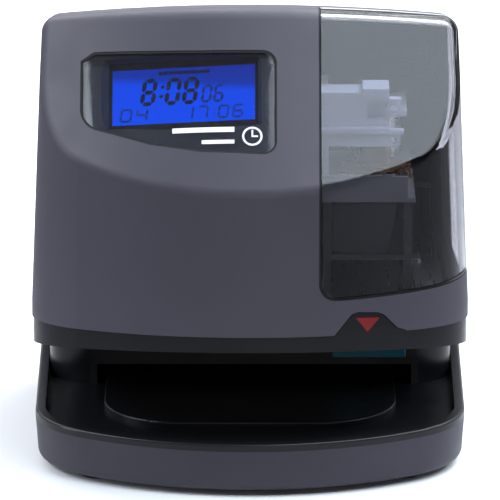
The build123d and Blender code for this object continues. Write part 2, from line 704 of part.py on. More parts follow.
def print_head():
    """Impact print head on the carriage's front, with its nose over the platen."""
    with BuildPart() as head:
        block((PRINT_X - 9, PRINT_X + 9), (17.5, BODY_Y[0]), (32, 62))
        fillet(head.edges().filter_by(Axis.Z), 2)
        with BuildSketch(Plane.XY.offset(32)):
            with Locations((PRINT_X, PRINT_Y)):
                Rectangle(12, 12)
        extrude(amount=-9.2, taper=8)
        for z in (40, 46, 52, 58):
            block((PRINT_X - 12, PRINT_X + 12), (16, 21), (z - 1, z + 1), Mode.SUBTRACT)
    return head.part


RIBBON_X = (8.7, 65.3)
RIBBON_Y = (20.0, 28.0)
RIBBON_LOW_Z, RIBBON_HIGH_Z = 22.2, 84.0


def ink_ribbon():
    """Inked ribbon: out of the cassette, down round the print line and back."""
    middle_x = (CASSETTE_X[0] + CASSETTE_X[1]) / 2
    thickness = 0.3
    with BuildPart() as ribbon:
        block(RIBBON_X, RIBBON_Y, (RIBBON_LOW_Z, RIBBON_HIGH_Z))
        block(
            (RIBBON_X[0] + thickness, RIBBON_X[1] - thickness),
            (RIBBON_Y[0] - 1, RIBBON_Y[1] + 1),
            (RIBBON_LOW_Z + thickness, RIBBON_HIGH_Z - thickness),
            Mode.SUBTRACT,
        )
        block((middle_x - 12, middle_x + 12), (10, 40), (70, 90), Mode.SUBTRACT)
    return ribbon.part


def ribbon_cassette():
    """Ribbon cassette, narrower at its foot, with the drive spool's socket in its lid."""
    left, right = CASSETTE_X
    low, high = CASSETTE_Z
    with BuildPart() as cassette:
        with BuildSketch(Plane(origin=(0, CASSETTE_Y[0], 0), x_dir=(1, 0, 0), z_dir=(0, -1, 0))):
            with BuildLine():
                Polyline((left, low), (right - 3, low), (right, high), (left, high), close=True)
            make_face()
        extrude(amount=-(CASSETTE_Y[1] - CASSETTE_Y[0]))
        fillet(cassette.edges().filter_by(Axis.Y), 1.2)
        post(FEED_X, FEED_Y, (high - 6, high + 1), 1.5 + RUN, Mode.SUBTRACT)
    return cassette.part


POST_FRONT_X = ((25.0, 27.8), (52.2, 55.0))


def ribbon_frame():
    """Black frame on the plate: four posts and the shelf that the cassette rests on."""
    base = PLATE_Z + SHEET
    with BuildPart() as frame:
        for x in POST_FRONT_X:
            block(x, (-44, -37), (base, DECK_Z))
            block(x, (2, 8), (base, DECK_Z))
        block((POST_FRONT_X[0][0], POST_FRONT_X[1][1]), (-44, 30), (CASSETTE_Z[0] - 2, CASSETTE_Z[0]))
        for x in POST_FRONT_X:
            block(x, (-44, 8), (base, base + 2))
    return frame.part


def ribbon_deck():
    """Grey deck over the cassette, with a lip along its front."""
    with BuildPart() as deck:
        block((24, 56), (-46, 16), (DECK_Z, DECK_Z + SHEET))
        block((24, 53.5), (-46, -44.5), (DECK_Z + SHEET, DECK_Z + 9))
        post(FEED_X, FEED_Y, (DECK_Z - 1, DECK_Z + 3), 1.5 + RUN, Mode.SUBTRACT)
        fillet(deck.edges().filter_by(Axis.Z), 0.5)
    return deck.part


GEAR_Z = (DECK_Z + 2.0, DECK_Z + 5.0)
PINION_Y = FEED_Y + MODULE * (GEAR_TEETH + PINION_TEETH) / 2
MOTOR_Z = (DECK_Z + 6.0, DECK_Z + 21.0)


def feed_gear():
    """Gear that winds the ribbon, with the spindle that drives the cassette."""
    with BuildPart() as gear:
        with BuildSketch(Plane.XY.offset(GEAR_Z[0])):
            with Locations((FEED_X, FEED_Y)):
                add(gear_outline(GEAR_TEETH, 90))
        extrude(amount=GEAR_Z[1] - GEAR_Z[0])
        post(FEED_X, FEED_Y, (CASSETTE_Z[1] - 5, GEAR_Z[1]), 1.5)
    return gear.part


def ribbon_knob():
    """Knob with a rounded finger bar, for taking up slack ribbon."""
    with BuildPart() as knob:
        post(FEED_X, FEED_Y, (GEAR_Z[1], GEAR_Z[1] + 1.2), 6.0)
        with BuildSketch(Plane.XY.offset(GEAR_Z[1] + 1.2)):
            with Locations((FEED_X, FEED_Y)):
                SlotOverall(11, 4.5)
        extrude(amount=6.0)
        fillet(knob.faces().sort_by(Axis.Z)[-1].edges(), 1.2)
    return knob.part


def feed_pinion():
    """Pinion on the ribbon motor's spindle."""
    with BuildPart() as pinion:
        with BuildSketch(Plane.XY.offset(GEAR_Z[0])):
            with Locations((FEED_X, PINION_Y)):
                add(gear_outline(PINION_TEETH, 90 + 180 / PINION_TEETH))
        extrude(amount=GEAR_Z[1] - GEAR_Z[0])
        post(FEED_X, PINION_Y, (GEAR_Z[1], MOTOR_Z[0] + 6), 1.0)
    return pinion.part


def ribbon_motor():
    """Small motor that hangs from the bracket and winds the ribbon."""
    with BuildPart() as motor:
        post(FEED_X, PINION_Y, MOTOR_Z, 9.0)
        chamfer(motor.edges().filter_by(GeomType.CIRCLE), 0.7)
        post(FEED_X, PINION_Y, (MOTOR_Z[0] - 1, MOTOR_Z[0] + 7), 1.0 + RUN, Mode.SUBTRACT)
    return motor.part


BLOCK_X, BLOCK_Y, BLOCK_Z = (24.0, 47.5), (-26.0, -14.0), (111.5, 130.0)


def ribbon_bracket():
    """Light moulded bracket: side wall, motor shelf, and the stepped block at the front."""
    x0, x1 = BLOCK_X
    y0, y1 = BLOCK_Y
    z0, z1 = BLOCK_Z
    with BuildPart() as bracket:
        block((x0, x0 + 3), (y0, 14), (DECK_Z + SHEET, z1 - 4))
        block((x0, 54), (-12, 14), (MOTOR_Z[1], MOTOR_Z[1] + 2))
        block(BLOCK_X, BLOCK_Y, (z0 + 6, z1))
        block((x0, x1), (y0 - 2, y1), (z0, z0 + 6))
        block((x0, x1), (y0 - 3.5, y1), (z0 + 5, z0 + 6.6))
        block((x1 - 9, x1), (y0 - 1, y1), (z1 - 2, z1 + 1.5))
        block((x0, x0 + 3), (y1 - 1, -10), (MOTOR_Z[1], z1 - 4))
        block((x1 - 7.5, x1 + 1), (y0 - 1, y0 + 5), (z0 + 8.6, z0 + 15), Mode.SUBTRACT)
        block((x1 - 0.5, x1 + 4), (y0, y0 + 4), (z0 + 15, z0 + 16.2))
        block((x1 - 0.5, x1 + 5), (y0 - 2, y0 + 2), (z0 + 4.2, z0 + 5.6))
        for z, radius in ((z0 + 12.7, 2.6), (z0 + 1.6, 2.4)):
            with Locations((x1 + 1.6, y0 + 1.2, z)):
                Cylinder(radius, 2.4, rotation=(90, 0, 0))
            with Locations((x1 + 1.6, y0 + 1.2, z)):
                Cylinder(radius - 1.1, 3, rotation=(90, 0, 0), mode=Mode.SUBTRACT)
    return bracket.part


# ---- card lever ---------------------------------------------------------------------
def lever_bracket():
    """Two ears on the slot's roof that hold the lever's pin."""
    roof = SLOT_ROOF_Z + ROOF_T
    with BuildPart() as ears:
        for x in (LEVER_X - 6.5, LEVER_X + 4.5):
            block((x, x + 2), (LEVER_Y - 4, LEVER_Y + 4), (roof, LEVER_Z + 3))
        crossbar((LEVER_X - 8, LEVER_X + 8), LEVER_Y, LEVER_Z, 1.2, Mode.SUBTRACT)
    return ears.part


def lever_pin():
    """Pin that the card lever turns on."""
    with BuildPart() as pin:
        crossbar((LEVER_X - 7, LEVER_X + 7), LEVER_Y, LEVER_Z, 1.2)
    return pin.part


def card_lever():
    """Lever that the card's edge pushes back when it is all the way in."""
    with BuildPart() as lever:
        crossbar((LEVER_X - 3, LEVER_X + 3), LEVER_Y, LEVER_Z, 2.4)
        block((LEVER_X - 2, LEVER_X + 2), (LEVER_Y - 1.2, LEVER_Y + 1.2), (TABLE_Z + 0.6, LEVER_Z))
        crossbar((LEVER_X - 4, LEVER_X + 4), LEVER_Y, LEVER_Z, 1.2 + RUN, Mode.SUBTRACT)
    return lever.part


# ---- display and electronics --------------------------------------------------------
def display_plane(depth=0.0):
    """The plane of the display's glass, lowered by depth."""
    tilt = math.radians(PANEL_TILT)
    yaw = math.radians(LCD_YAW)
    sag = BOW_R - math.sqrt(BOW_R**2 - LCD_X**2)
    across = Vector(1, 0, 0)
    normal = Vector(0, -math.cos(tilt), math.sin(tilt))
    up = Vector(0, math.sin(tilt), math.cos(tilt))
    centre = Vector(LCD_X, CREASE_Y + sag, CREASE_Z) + up * LCD_UP - normal * LCD_DEPTH
    facing = normal * math.cos(yaw) - across * math.sin(yaw)
    right = across * math.cos(yaw) + normal * math.sin(yaw)
    return Plane(origin=centre - facing * depth, x_dir=right, z_dir=facing)


LCD_VIEW = (48.8, 20.0)  # the part of the glass that shows
GLASS = (51.0, 24.5, 2.8)
MODULE_SIZE = (55.0, 29.0, 9.0)
BOARD_SIZE = (66.0, 40.0)
BOARD_SHIFT = -5.0
BUTTON_X = (-16.0, 0.0, 16.0)
BUTTON_UP = -20.5


def lcd_glass():
    """The display's glass sandwich."""
    with BuildPart() as glass:
        with BuildSketch(display_plane()):
            Rectangle(GLASS[0], GLASS[1])
        extrude(amount=-GLASS[2])
    return glass.part


def lcd_module():
    """Tray that holds the display glass and its back light."""
    with BuildPart() as tray:
        with BuildSketch(display_plane(MODULE_SIZE[2])):
            RectangleRounded(MODULE_SIZE[0], MODULE_SIZE[1], 1.5)
        extrude(amount=MODULE_SIZE[2] + 0.4)
        with BuildSketch(display_plane(GLASS[2])):
            Rectangle(GLASS[0], GLASS[1])
        extrude(amount=GLASS[2], mode=Mode.SUBTRACT)
        with BuildSketch(display_plane()):
            Rectangle(LCD_VIEW[0], LCD_VIEW[1])
        extrude(amount=1, mode=Mode.SUBTRACT)
    return tray.part


def display_board():
    """Circuit board behind the display, with the setting switches along its foot."""
    with BuildPart() as board:
        with BuildSketch(display_plane(MODULE_SIZE[2] + 1.6)):
            with Locations((0, BOARD_SHIFT)):
                Rectangle(BOARD_SIZE[0], BOARD_SIZE[1])
        extrude(amount=1.6)
        with BuildSketch(display_plane(MODULE_SIZE[2])):
            with Locations(*[(x, BUTTON_UP) for x in BUTTON_X]):
                Rectangle(6, 6)
        extrude(amount=3.4)
        with BuildSketch(display_plane(MODULE_SIZE[2] - 1.0)):
            with Locations(*[(x, BUTTON_UP) for x in BUTTON_X]):
                Circle(1.8 + GAP)
        extrude(amount=5, mode=Mode.SUBTRACT)
    return board.part


def set_button(index):
    """One setting button, a round plunger in its switch."""
    with BuildPart() as button:
        with BuildSketch(display_plane(MODULE_SIZE[2] - 2.0)):
            with Locations((BUTTON_X[index - 1], BUTTON_UP)):
                Circle(1.8)
        extrude(amount=2.9)
        fillet(button.edges().filter_by(GeomType.CIRCLE), 0.3)
    return button.part


def set_button_1():
    """Left setting button."""
    return set_button(1)


def set_button_2():
    """Middle setting button."""
    return set_button(2)


def set_button_3():
    """Right setting button."""
    return set_button(3)


def display_holder():
    """Plate behind the display board, on two legs that stand on the chassis plate."""
    back = MODULE_SIZE[2] + 1.6
    with BuildPart() as holder:
        for x in (-46, -6):
            block((x, x + 6), (-46, -14), (PLATE_Z + SHEET, 112))
            block((x - 1, x + 7), (-34, -22), (80, 104), Mode.SUBTRACT)
            block((x - 2, x + 8), (-46, -14), (PLATE_Z + SHEET, PLATE_Z + SHEET + 2))
        split(bisect_by=display_plane(back + 3), keep=Keep.BOTTOM)
        with BuildSketch(display_plane(back + 3.0)):
            with Locations((0, BOARD_SHIFT)):
                Rectangle(BOARD_SIZE[0] - 4, BOARD_SIZE[1])
        extrude(amount=1.6)
        with BuildSketch(display_plane(back + 1.5)):
            with Locations((0, BOARD_SHIFT)):
                with GridLocations(BOARD_SIZE[0] - 12, BOARD_SIZE[1] - 8, 2, 2):
                    Circle(2.5)
        extrude(amount=1.5)
    return holder.part


def main_board():
    """Control board on four pillars."""
    with BuildPart() as board:
        block((-60, -8), (-46, 6), (BOARD_Z, BOARD_Z + 1.6))
        for x, y in BOARD_PILLARS:
            post(x, y, (PLATE_Z + SHEET, BOARD_Z), 2.5)
        block((-49, -37), (-47, -13), (BOARD_Z - 1, BOARD_Z + 3), Mode.SUBTRACT)
        block((-9, 5), (-47, -13), (BOARD_Z - 1, BOARD_Z + 3), Mode.SUBTRACT)
    return board.part


def board_components():
    """Chips, capacitors and sockets on the control board."""
    top = BOARD_Z + 1.6
    with BuildPart() as parts:
        block((-34, -20), (-36, -22), (top, top + 2))
        block((-34, -24), (-16, -8), (top, top + 1.8))
        for x in (-56, -50):
            post(x, -8, (top, top + 9), 2.6)
        post(-56, 1, (top, top + 7), 2.2)
        block((-46, -22), (-1, 4), (top, top + 6))
    return parts.part


def backup_battery():
    """Rechargeable cells that keep the time when the power is off."""
    with BuildPart() as battery:
        for y in (28, 40):
            crossbar((-48, -14), y, PLATE_Z + SHEET + 5.5, 5.5)
        block((-48, -14), (28, 40), (PLATE_Z + SHEET, PLATE_Z + SHEET + 4))
    return battery.part


def buzzer():
    """Round sounder on the chassis plate."""
    with BuildPart() as sounder:
        post(-4, 20, (PLATE_Z + SHEET, PLATE_Z + SHEET + 6), 5.0)
        post(-4, 20, (PLATE_Z + SHEET + 5, PLATE_Z + SHEET + 7), 1.2, Mode.SUBTRACT)
        chamfer(sounder.faces().sort_by(Axis.Z)[-1].edges(), 0.5)
    return sounder.part


# ---- lock ---------------------------------------------------------------------------
LOCK_WALL_X = -(side_x(LOCK_Y) - (LOCK_Z - DRAFT_Z) * math.tan(math.radians(DRAFT)))
BARREL_R, PLUG_R, FLANGE_R = 6.0, 3.8, 8.0
CAM_X = (LOCK_WALL_X + 15.4, LOCK_WALL_X + 16.9)


def lock_catch():
    """Steel hook on the chassis plate that the lock's cam turns under."""
    with BuildPart() as catch:
        block((CAM_X[0] - 3, CAM_X[1] + 3), (38, 50), (LOCK_Z + 5, LOCK_Z + 6.5))
        block((CAM_X[0] - 3, CAM_X[1] + 3), (48.5, 50), (PLATE_Z + SHEET, LOCK_Z + 5))
        block((CAM_X[0] - 3, CAM_X[1] + 3), (48.5, 58), (PLATE_Z + SHEET, PLATE_Z + 2 * SHEET))
    return catch.part


def lock_body():
    """Lock barrel through the cover's left wall."""
    with BuildPart() as body:
        crossbar((LOCK_WALL_X + 0.3, LOCK_WALL_X + 1.2), LOCK_Y, LOCK_Z, FLANGE_R)
        crossbar((LOCK_WALL_X + 1.2, LOCK_WALL_X + 15), LOCK_Y, LOCK_Z, BARREL_R)
        crossbar((LOCK_WALL_X - 1, LOCK_WALL_X + 16), LOCK_Y, LOCK_Z, PLUG_R + RUN, Mode.SUBTRACT)
    return body.part


def lock_nut():
    """Hexagon nut that holds the lock in the wall."""
    with BuildPart() as nut:
        with BuildSketch(Plane.YZ.offset(LOCK_WALL_X + 3.2)):
            with Locations((LOCK_Y, LOCK_Z)):
                RegularPolygon(9.0, 6)
                Circle(BARREL_R, mode=Mode.SUBTRACT)
        extrude(amount=3)
    return nut.part


def lock_plug():
    """Turning plug with its keyway."""
    with BuildPart() as plug:
        crossbar((LOCK_WALL_X + 0.5, LOCK_WALL_X + 15.4), LOCK_Y, LOCK_Z, PLUG_R)
        block(
            (LOCK_WALL_X, LOCK_WALL_X + 8.5),
            (LOCK_Y - 0.6, LOCK_Y + 0.6),
            (LOCK_Z - 2.6, LOCK_Z + 2.6),
            Mode.SUBTRACT,
        )
    return plug.part


def lock_cam():
    """Cam on the plug's inner end; it hangs down when the cover is free to lift."""
    with BuildPart() as cam:
        with BuildSketch(Plane.YZ.offset(CAM_X[0])):
            with BuildLine():
                Polyline((LOCK_Y - 4, LOCK_Z), (LOCK_Y - 4, LOCK_Z - 14), (LOCK_Y + 4, LOCK_Z - 14))
                Line((LOCK_Y + 4, LOCK_Z - 14), (LOCK_Y + 4, LOCK_Z))
                ThreePointArc((LOCK_Y + 4, LOCK_Z), (LOCK_Y, LOCK_Z + 4), (LOCK_Y - 4, LOCK_Z))
            make_face()
        extrude(amount=CAM_X[1] - CAM_X[0])
    return cam.part


# ---- cover --------------------------------------------------------------------------
FRAME_W = 0.8  # width of the dark seals round the window and the lens
VENT_X, VENT_PITCH, VENT_COUNT = -48.0, 12.0, 6  # cooling slots in the back wall


def lens_outline(inset=0.0):
    """The display lens's outline on the sloping panel, about the crease's centre."""
    with BuildSketch() as outline:
        with BuildLine():
            Polyline((-57.6, 32.5), (-57.6, 51.2), (-53, 54), (-34, 52.6), (-17, 51.9), (9.1, 51.7))
            Polyline((9.1, 51.7), (9.1, 14.0), (4, 14.2), (-16.8, 15.3), (-33.7, 18.7), (-57.6, 27.6))
            Line((-57.6, 27.6), (-57.6, 32.5))
        make_face()
        corners = outline.vertices().filter_by(lambda v: abs(v.X - 9.1) < 0.01)
        fillet(corners, 4.7)
        fillet(outline.vertices().sort_by_distance((-57.6, 27.6))[0], 9)
        if inset:
            offset(amount=-inset)
    return outline.sketch


def lens_prism(inset=0.0):
    """The lens's outline pushed through the panel, square to it."""
    tilt = math.radians(PANEL_TILT)
    normal = Vector(0, -math.cos(tilt), math.sin(tilt))
    start = Plane(origin=(0, CREASE_Y, CREASE_Z), x_dir=(1, 0, 0), z_dir=normal)
    with BuildPart() as cutter:
        with BuildSketch(start.offset(8)):
            add(lens_outline(inset))
        extrude(amount=-45)
    return cutter.part


def window_block(shrink=0.0):
    """The region of the cover that the clear window takes up."""
    low = (WINDOW_X + shrink, FRONT_Y - 5, WINDOW_Z + shrink)
    rear = WINDOW_REAR_Y - shrink
    with BuildPart() as region:
        block((low[0], 90), (low[1], rear), (low[2], 180))
        edges = region.edges()
        lower = edges.filter_by(Axis.Y).sort_by_distance((low[0], 0, low[2]))[0]
        upright = edges.filter_by(Axis.Z).sort_by_distance((low[0], rear, 100))[0]
        back = edges.filter_by(Axis.X).sort_by_distance((0, rear, low[2]))[0]
        fillet([lower, upright, back], 6 - shrink)
    return region.part


def cover_layer(outer_inset, inner_inset):
    """The layer of the cover between two depths below its outer surface."""
    with BuildPart() as layer:
        add(FORM if outer_inset == 0 else body_form(outer_inset))
        add(FORM_INSIDE if inner_inset == WALL else body_form(inner_inset), mode=Mode.SUBTRACT)
    return layer.part


def upper_cover():
    """The one-piece moulded cover: bowed front, sloping panel, crowned top and back."""
    with BuildPart() as cover:
        add(cover_layer(0, WALL))
        split(bisect_by=SEAM_PLANE, keep=Keep.TOP)
        add(lens_prism(), mode=Mode.SUBTRACT)
        add(window_block(), mode=Mode.SUBTRACT)
        add(front_prism(tab_outline(GAP)), mode=Mode.SUBTRACT)
        crossbar((-80, LOCK_WALL_X + 1.2), LOCK_Y, LOCK_Z, FLANGE_R + 0.2, Mode.SUBTRACT)
        crossbar((-80, LOCK_WALL_X + 5), LOCK_Y, LOCK_Z, BARREL_R, Mode.SUBTRACT)
        for column in range(VENT_COUNT):
            x = VENT_X + VENT_PITCH * column
            block((x - 1.3, x + 1.3), (60, 80), (88, 112), Mode.SUBTRACT)
    return cover.part


def display_lens():
    """Dark tinted lens over the display, set just below the panel's surface."""
    with BuildPart() as lens:
        add(cover_layer(LENS_T[0], LENS_T[1]))
        add(lens_prism(FRAME_W), mode=Mode.INTERSECT)
    return lens.part


def lens_gasket():
    """Dark seal between the lens and the cover."""
    with BuildPart() as seal:
        add(cover_layer(0.3, WALL))
        add(lens_prism(), mode=Mode.INTERSECT)
        add(lens_prism(FRAME_W), mode=Mode.SUBTRACT)
    return seal.part


def print_window():
    """Clear window over the print mechanism, wrapped round the right side and the top."""
    with BuildPart() as window:
        add(cover_layer(0, WALL))
        add(window_block(FRAME_W), mode=Mode.INTERSECT)
    return window.part


def window_gasket():
    """Dark seal between the window and the cover."""
    with BuildPart() as seal:
        add(cover_layer(0.4, WALL))
        add(window_block(), mode=Mode.INTERSECT)
        add(window_block(FRAME_W), mode=Mode.SUBTRACT)
    return seal.part


# ---- export -------------------------------------------------------------------------
PIECES = [
    base_shell, base_feet, base_screws, card_tray, card_table, platen,
    rear_column, card_guide, column_screws, hood_frame, print_marker, power_jack,
    chassis_plate, chassis_screws, print_frame, frame_screws, guide_shaft_main, guide_shaft_rear,
    idler_shaft, idler_pulley, motor_pulley, drive_belt, carriage_motor,
    carriage_body, carriage_bushes, print_head,
    ribbon_frame, ribbon_cassette, ink_ribbon, ribbon_deck, ribbon_bracket, ribbon_motor,
    feed_gear, ribbon_knob, feed_pinion,
    lever_bracket, lever_pin, card_lever,
    lcd_glass, lcd_module, display_board, display_holder,
    set_button_1, set_button_2, set_button_3,
    main_board, board_components, backup_battery, buzzer,
    lock_catch, lock_body, lock_nut, lock_plug, lock_cam,
    upper_cover, display_lens, lens_gasket, print_window, window_gasket,
]

os.makedirs("parts", exist_ok=True)
for make in PIECES:
    piece = make()
    piece.label = make.__name__
    export_step(piece, f"parts/{piece.label}.step")
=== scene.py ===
import json
import math

import bmesh
import bpy
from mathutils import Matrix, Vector
from mathutils.bvhtree import BVHTree


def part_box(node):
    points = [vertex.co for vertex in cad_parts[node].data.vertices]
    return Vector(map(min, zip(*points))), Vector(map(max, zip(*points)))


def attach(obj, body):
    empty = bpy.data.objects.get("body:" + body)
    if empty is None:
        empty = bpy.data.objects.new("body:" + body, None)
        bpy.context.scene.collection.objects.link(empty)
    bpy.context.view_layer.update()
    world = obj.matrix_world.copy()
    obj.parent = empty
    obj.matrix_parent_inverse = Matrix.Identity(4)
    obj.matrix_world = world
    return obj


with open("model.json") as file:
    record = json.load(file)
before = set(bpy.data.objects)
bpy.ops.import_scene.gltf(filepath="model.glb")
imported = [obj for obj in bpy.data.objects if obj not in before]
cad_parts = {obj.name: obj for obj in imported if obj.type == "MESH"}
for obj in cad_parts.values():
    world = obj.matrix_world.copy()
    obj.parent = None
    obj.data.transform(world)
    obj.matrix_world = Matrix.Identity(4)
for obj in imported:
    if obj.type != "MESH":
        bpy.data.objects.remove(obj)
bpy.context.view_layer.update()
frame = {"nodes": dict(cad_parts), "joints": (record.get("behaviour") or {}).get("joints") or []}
NODES = frame["nodes"]
MM = 0.001
SQUARE = ((-1, -1), (1, -1), (1, 1), (-1, 1))
COLLECTION = bpy.context.scene.collection


# ---- camera, floor and light --------------------------------------------------------
CAMERA_ELEVATION = 16.0
CAMERA_DISTANCE = 2.0
AIM_HEIGHT = 0.0668
LENS_MM = 411.8


def add_camera():
    """A long lens, a little above the clock and square to its front."""
    tilt = math.radians(CAMERA_ELEVATION)
    data = bpy.data.cameras.new("camera")
    data.lens = LENS_MM
    data.sensor_width = 36.0
    data.clip_end = 20.0
    camera = bpy.data.objects.new("camera", data)
    camera.location = (0, -CAMERA_DISTANCE * math.cos(tilt), AIM_HEIGHT + CAMERA_DISTANCE * math.sin(tilt))
    camera.rotation_euler = (math.pi / 2 - tilt, 0, 0)
    COLLECTION.objects.link(camera)
    bpy.context.scene.camera = camera


WHITE, COOL, COLD = (1, 1, 1), (0.84, 0.92, 1.0), (0.82, 0.91, 1.0)
LAMPS = [  # name, place, point that it faces, size, watts, tint
    ("key_box", (0.75, -0.10, 1.0), (0.75, -0.08, 0), (1.35, 1.4), 32.0, COLD),
    ("left_box", (-1.04, -0.40, 0.95), (-1.04, -0.38, 0), (0.7, 1.0), 18.0, COOL),
    ("side_box", (-1.25, -0.30, 0.40), (0, 0, 0.09), (0.5, 0.4), 3.0, COOL),
    ("back_box", (0.0, 0.85, 1.1), (0, 0.6, 0), (2.0, 0.8), 18.0, WHITE),
    ("front_fill", (0.25, -1.7, 0.22), (0, 0, 0.03), (0.7, 0.2), 2.4, WHITE),
]


def add_softbox(name, place, aim, size, power, tint):
    """A rectangular area light at place, turned to face aim."""
    data = bpy.data.lights.new(name, "AREA")
    data.shape = "RECTANGLE"
    data.size, data.size_y = size
    data.energy = power
    data.color = tint
    lamp = bpy.data.objects.new(name, data)
    lamp.location = place
    lamp.rotation_euler = (Vector(aim) - Vector(place)).to_track_quat("-Z", "Y").to_euler()
    COLLECTION.objects.link(lamp)


FLOOR_HALF = 6.0
WORLD_FADE = (-0.25, 0.5)  # Y of a direction where the world is dark, and where it is bright
# painted shade: beyond these limits the table is painted darker, standing in for the lamps' fall-off
PALE_FRONT, SHADED_FRONT = -0.080, -0.55  # Y where the table is still pale, and where it is grey
PALE_SIDE, SHADED_SIDE = 0.095, 0.60  # the same to each side, where Y is 0
PALE_WIDENING = 0.06  # how fast the pale part widens towards the back


def studio_world():
    """A studio that is bright behind the clock and dark in front of it."""
    world = bpy.data.worlds.new("studio")
    world.use_nodes = True
    tree = world.node_tree
    place = tree.nodes.new("ShaderNodeTexCoord")
    split = tree.nodes.new("ShaderNodeSeparateXYZ")
    fade = tree.nodes.new("ShaderNodeMapRange")
    fade.inputs["From Min"].default_value, fade.inputs["From Max"].default_value = WORLD_FADE
    tree.links.new(place.outputs["Generated"], split.inputs["Vector"])
    tree.links.new(split.outputs["Y"], fade.inputs["Value"])
    colour = ramp(tree, fade.outputs["Result"], [(0.0, (0.05, 0.05, 0.06)), (1.0, (0.70, 0.72, 0.78))])
    tree.links.new(colour, tree.nodes["Background"].inputs["Color"])
    bpy.context.scene.world = world


def table_paper():
    """Pale paper round and behind the clock, with painted shade falling off to grey further out."""
    paper = new_material("floor_paper_and_painted_shade")
    tree = paper.node_tree
    shader = tree.nodes["Principled BSDF"]
    place = tree.nodes.new("ShaderNodeTexCoord")
    split = tree.nodes.new("ShaderNodeSeparateXYZ")
    tree.links.new(place.outputs["Object"], split.inputs["Vector"])
    aside = tree.nodes.new("ShaderNodeMath")
    aside.operation = "ABSOLUTE"
    tree.links.new(split.outputs["X"], aside.inputs[0])
    widening = tree.nodes.new("ShaderNodeMath")
    widening.operation = "MULTIPLY_ADD"
    widening.inputs[1].default_value = -PALE_WIDENING
    tree.links.new(split.outputs["Y"], widening.inputs[0])
    tree.links.new(aside.outputs["Value"], widening.inputs[2])
    both = tree.nodes.new("ShaderNodeMath")
    both.operation = "MULTIPLY"
    limits = (
        (split.outputs["Y"], SHADED_FRONT, PALE_FRONT),
        (widening.outputs["Value"], SHADED_SIDE, PALE_SIDE),
    )
    for k, (source, grey, pale) in enumerate(limits):
        fade = tree.nodes.new("ShaderNodeMapRange")
        fade.inputs["From Min"].default_value = grey
        fade.inputs["From Max"].default_value = pale
        tree.links.new(source, fade.inputs["Value"])
        tree.links.new(fade.outputs["Result"], both.inputs[k])
    # painted shade: the paper's colour darkens away from the clock in place of the lamps' fall-off
    stops = [(0.0, (0.13, 0.13, 0.14)), (0.82, (0.18, 0.18, 0.19)), (1.0, (0.90, 0.90, 0.91))]
    tree.links.new(ramp(tree, both.outputs["Value"], stops), shader.inputs["Base Color"])
    shader.inputs["Roughness"].default_value = 0.9
    return paper


def add_surroundings():
    """Pale table, studio world and soft lamps."""
    studio_world()
    bpy.context.scene.view_settings.view_transform = "Standard"
    mesh = bpy.data.meshes.new("floor")
    corners = [(x * FLOOR_HALF, y * FLOOR_HALF, 0) for x, y in SQUARE]
    mesh.from_pydata(corners, [], [(0, 1, 2, 3)])
    floor = bpy.data.objects.new("floor", mesh)
    COLLECTION.objects.link(floor)
    paper = table_paper()
    mesh.materials.append(paper)
    for name, place, aim, size, power, tint in LAMPS:
        add_softbox(name, place, aim, size, power, tint)


# ---- materials ----------------------------------------------------------------------
def new_material(name):
    """A node material with only its shader."""
    made = bpy.data.materials.new(name)
    made.use_nodes = True
    return made


NOISE_LOW, NOISE_HIGH = 0.3, 0.7  # the range that most of a noise texture lies in
CLOUD_SCALE, GLOSS_SCALE, WAVE_SCALE = 14.0, 60.0, 35.0  # of moulded plastic, in features per metre
WAVE_HEIGHT = 0.00006
GLOSS_SWING = 0.12  # of the roughness, up and down
SCRATCH_SCALE, SCRATCH_HEIGHT, SCRATCH_SHADE = 900.0, 0.000006, 0.86
INK_SCALE = 900.0


def noise(tree, scale, detail=2.0, roughness=0.5, stretch=(1, 1, 1)):
    """Noise on object coordinates, in features per metre."""
    place = tree.nodes.new("ShaderNodeTexCoord")
    mapping = tree.nodes.new("ShaderNodeMapping")
    mapping.inputs["Scale"].default_value = stretch
    texture = tree.nodes.new("ShaderNodeTexNoise")
    texture.inputs["Scale"].default_value = scale
    texture.inputs["Detail"].default_value = detail
    texture.inputs["Roughness"].default_value = roughness
    tree.links.new(place.outputs["Object"], mapping.inputs["Vector"])
    tree.links.new(mapping.outputs["Vector"], texture.inputs["Vector"])
    return texture.outputs["Fac"]


def ramp(tree, source, stops):
    """A colour ramp over source, with stops of (position, colour)."""
    node = tree.nodes.new("ShaderNodeValToRGB")
    while len(node.color_ramp.elements) < len(stops):
        node.color_ramp.elements.new(0.5)
    for element, (position, colour) in zip(node.color_ramp.elements, stops):
        element.position = position
        element.color = (*colour, 1)
    tree.links.new(source, node.inputs["Fac"])
    return node.outputs["Color"]


def spread(tree, source, low, high):
    """source, stretched from its middle range onto low to high."""
    node = tree.nodes.new("ShaderNodeMapRange")
    node.inputs["From Min"].default_value = NOISE_LOW
    node.inputs["From Max"].default_value = NOISE_HIGH
    node.inputs["To Min"].default_value = low
    node.inputs["To Max"].default_value = high
    tree.links.new(source, node.inputs["Value"])
    return node.outputs["Result"]


def bump(tree, source, height, strength=1.0, after=None):
    """A bump from source, height in metres, on top of an earlier bump."""
    node = tree.nodes.new("ShaderNodeBump")
    node.inputs["Strength"].default_value = strength
    node.inputs["Distance"].default_value = height
    tree.links.new(source, node.inputs["Height"])
    if after:
        tree.links.new(after, node.inputs["Normal"])
    return node.outputs["Normal"]


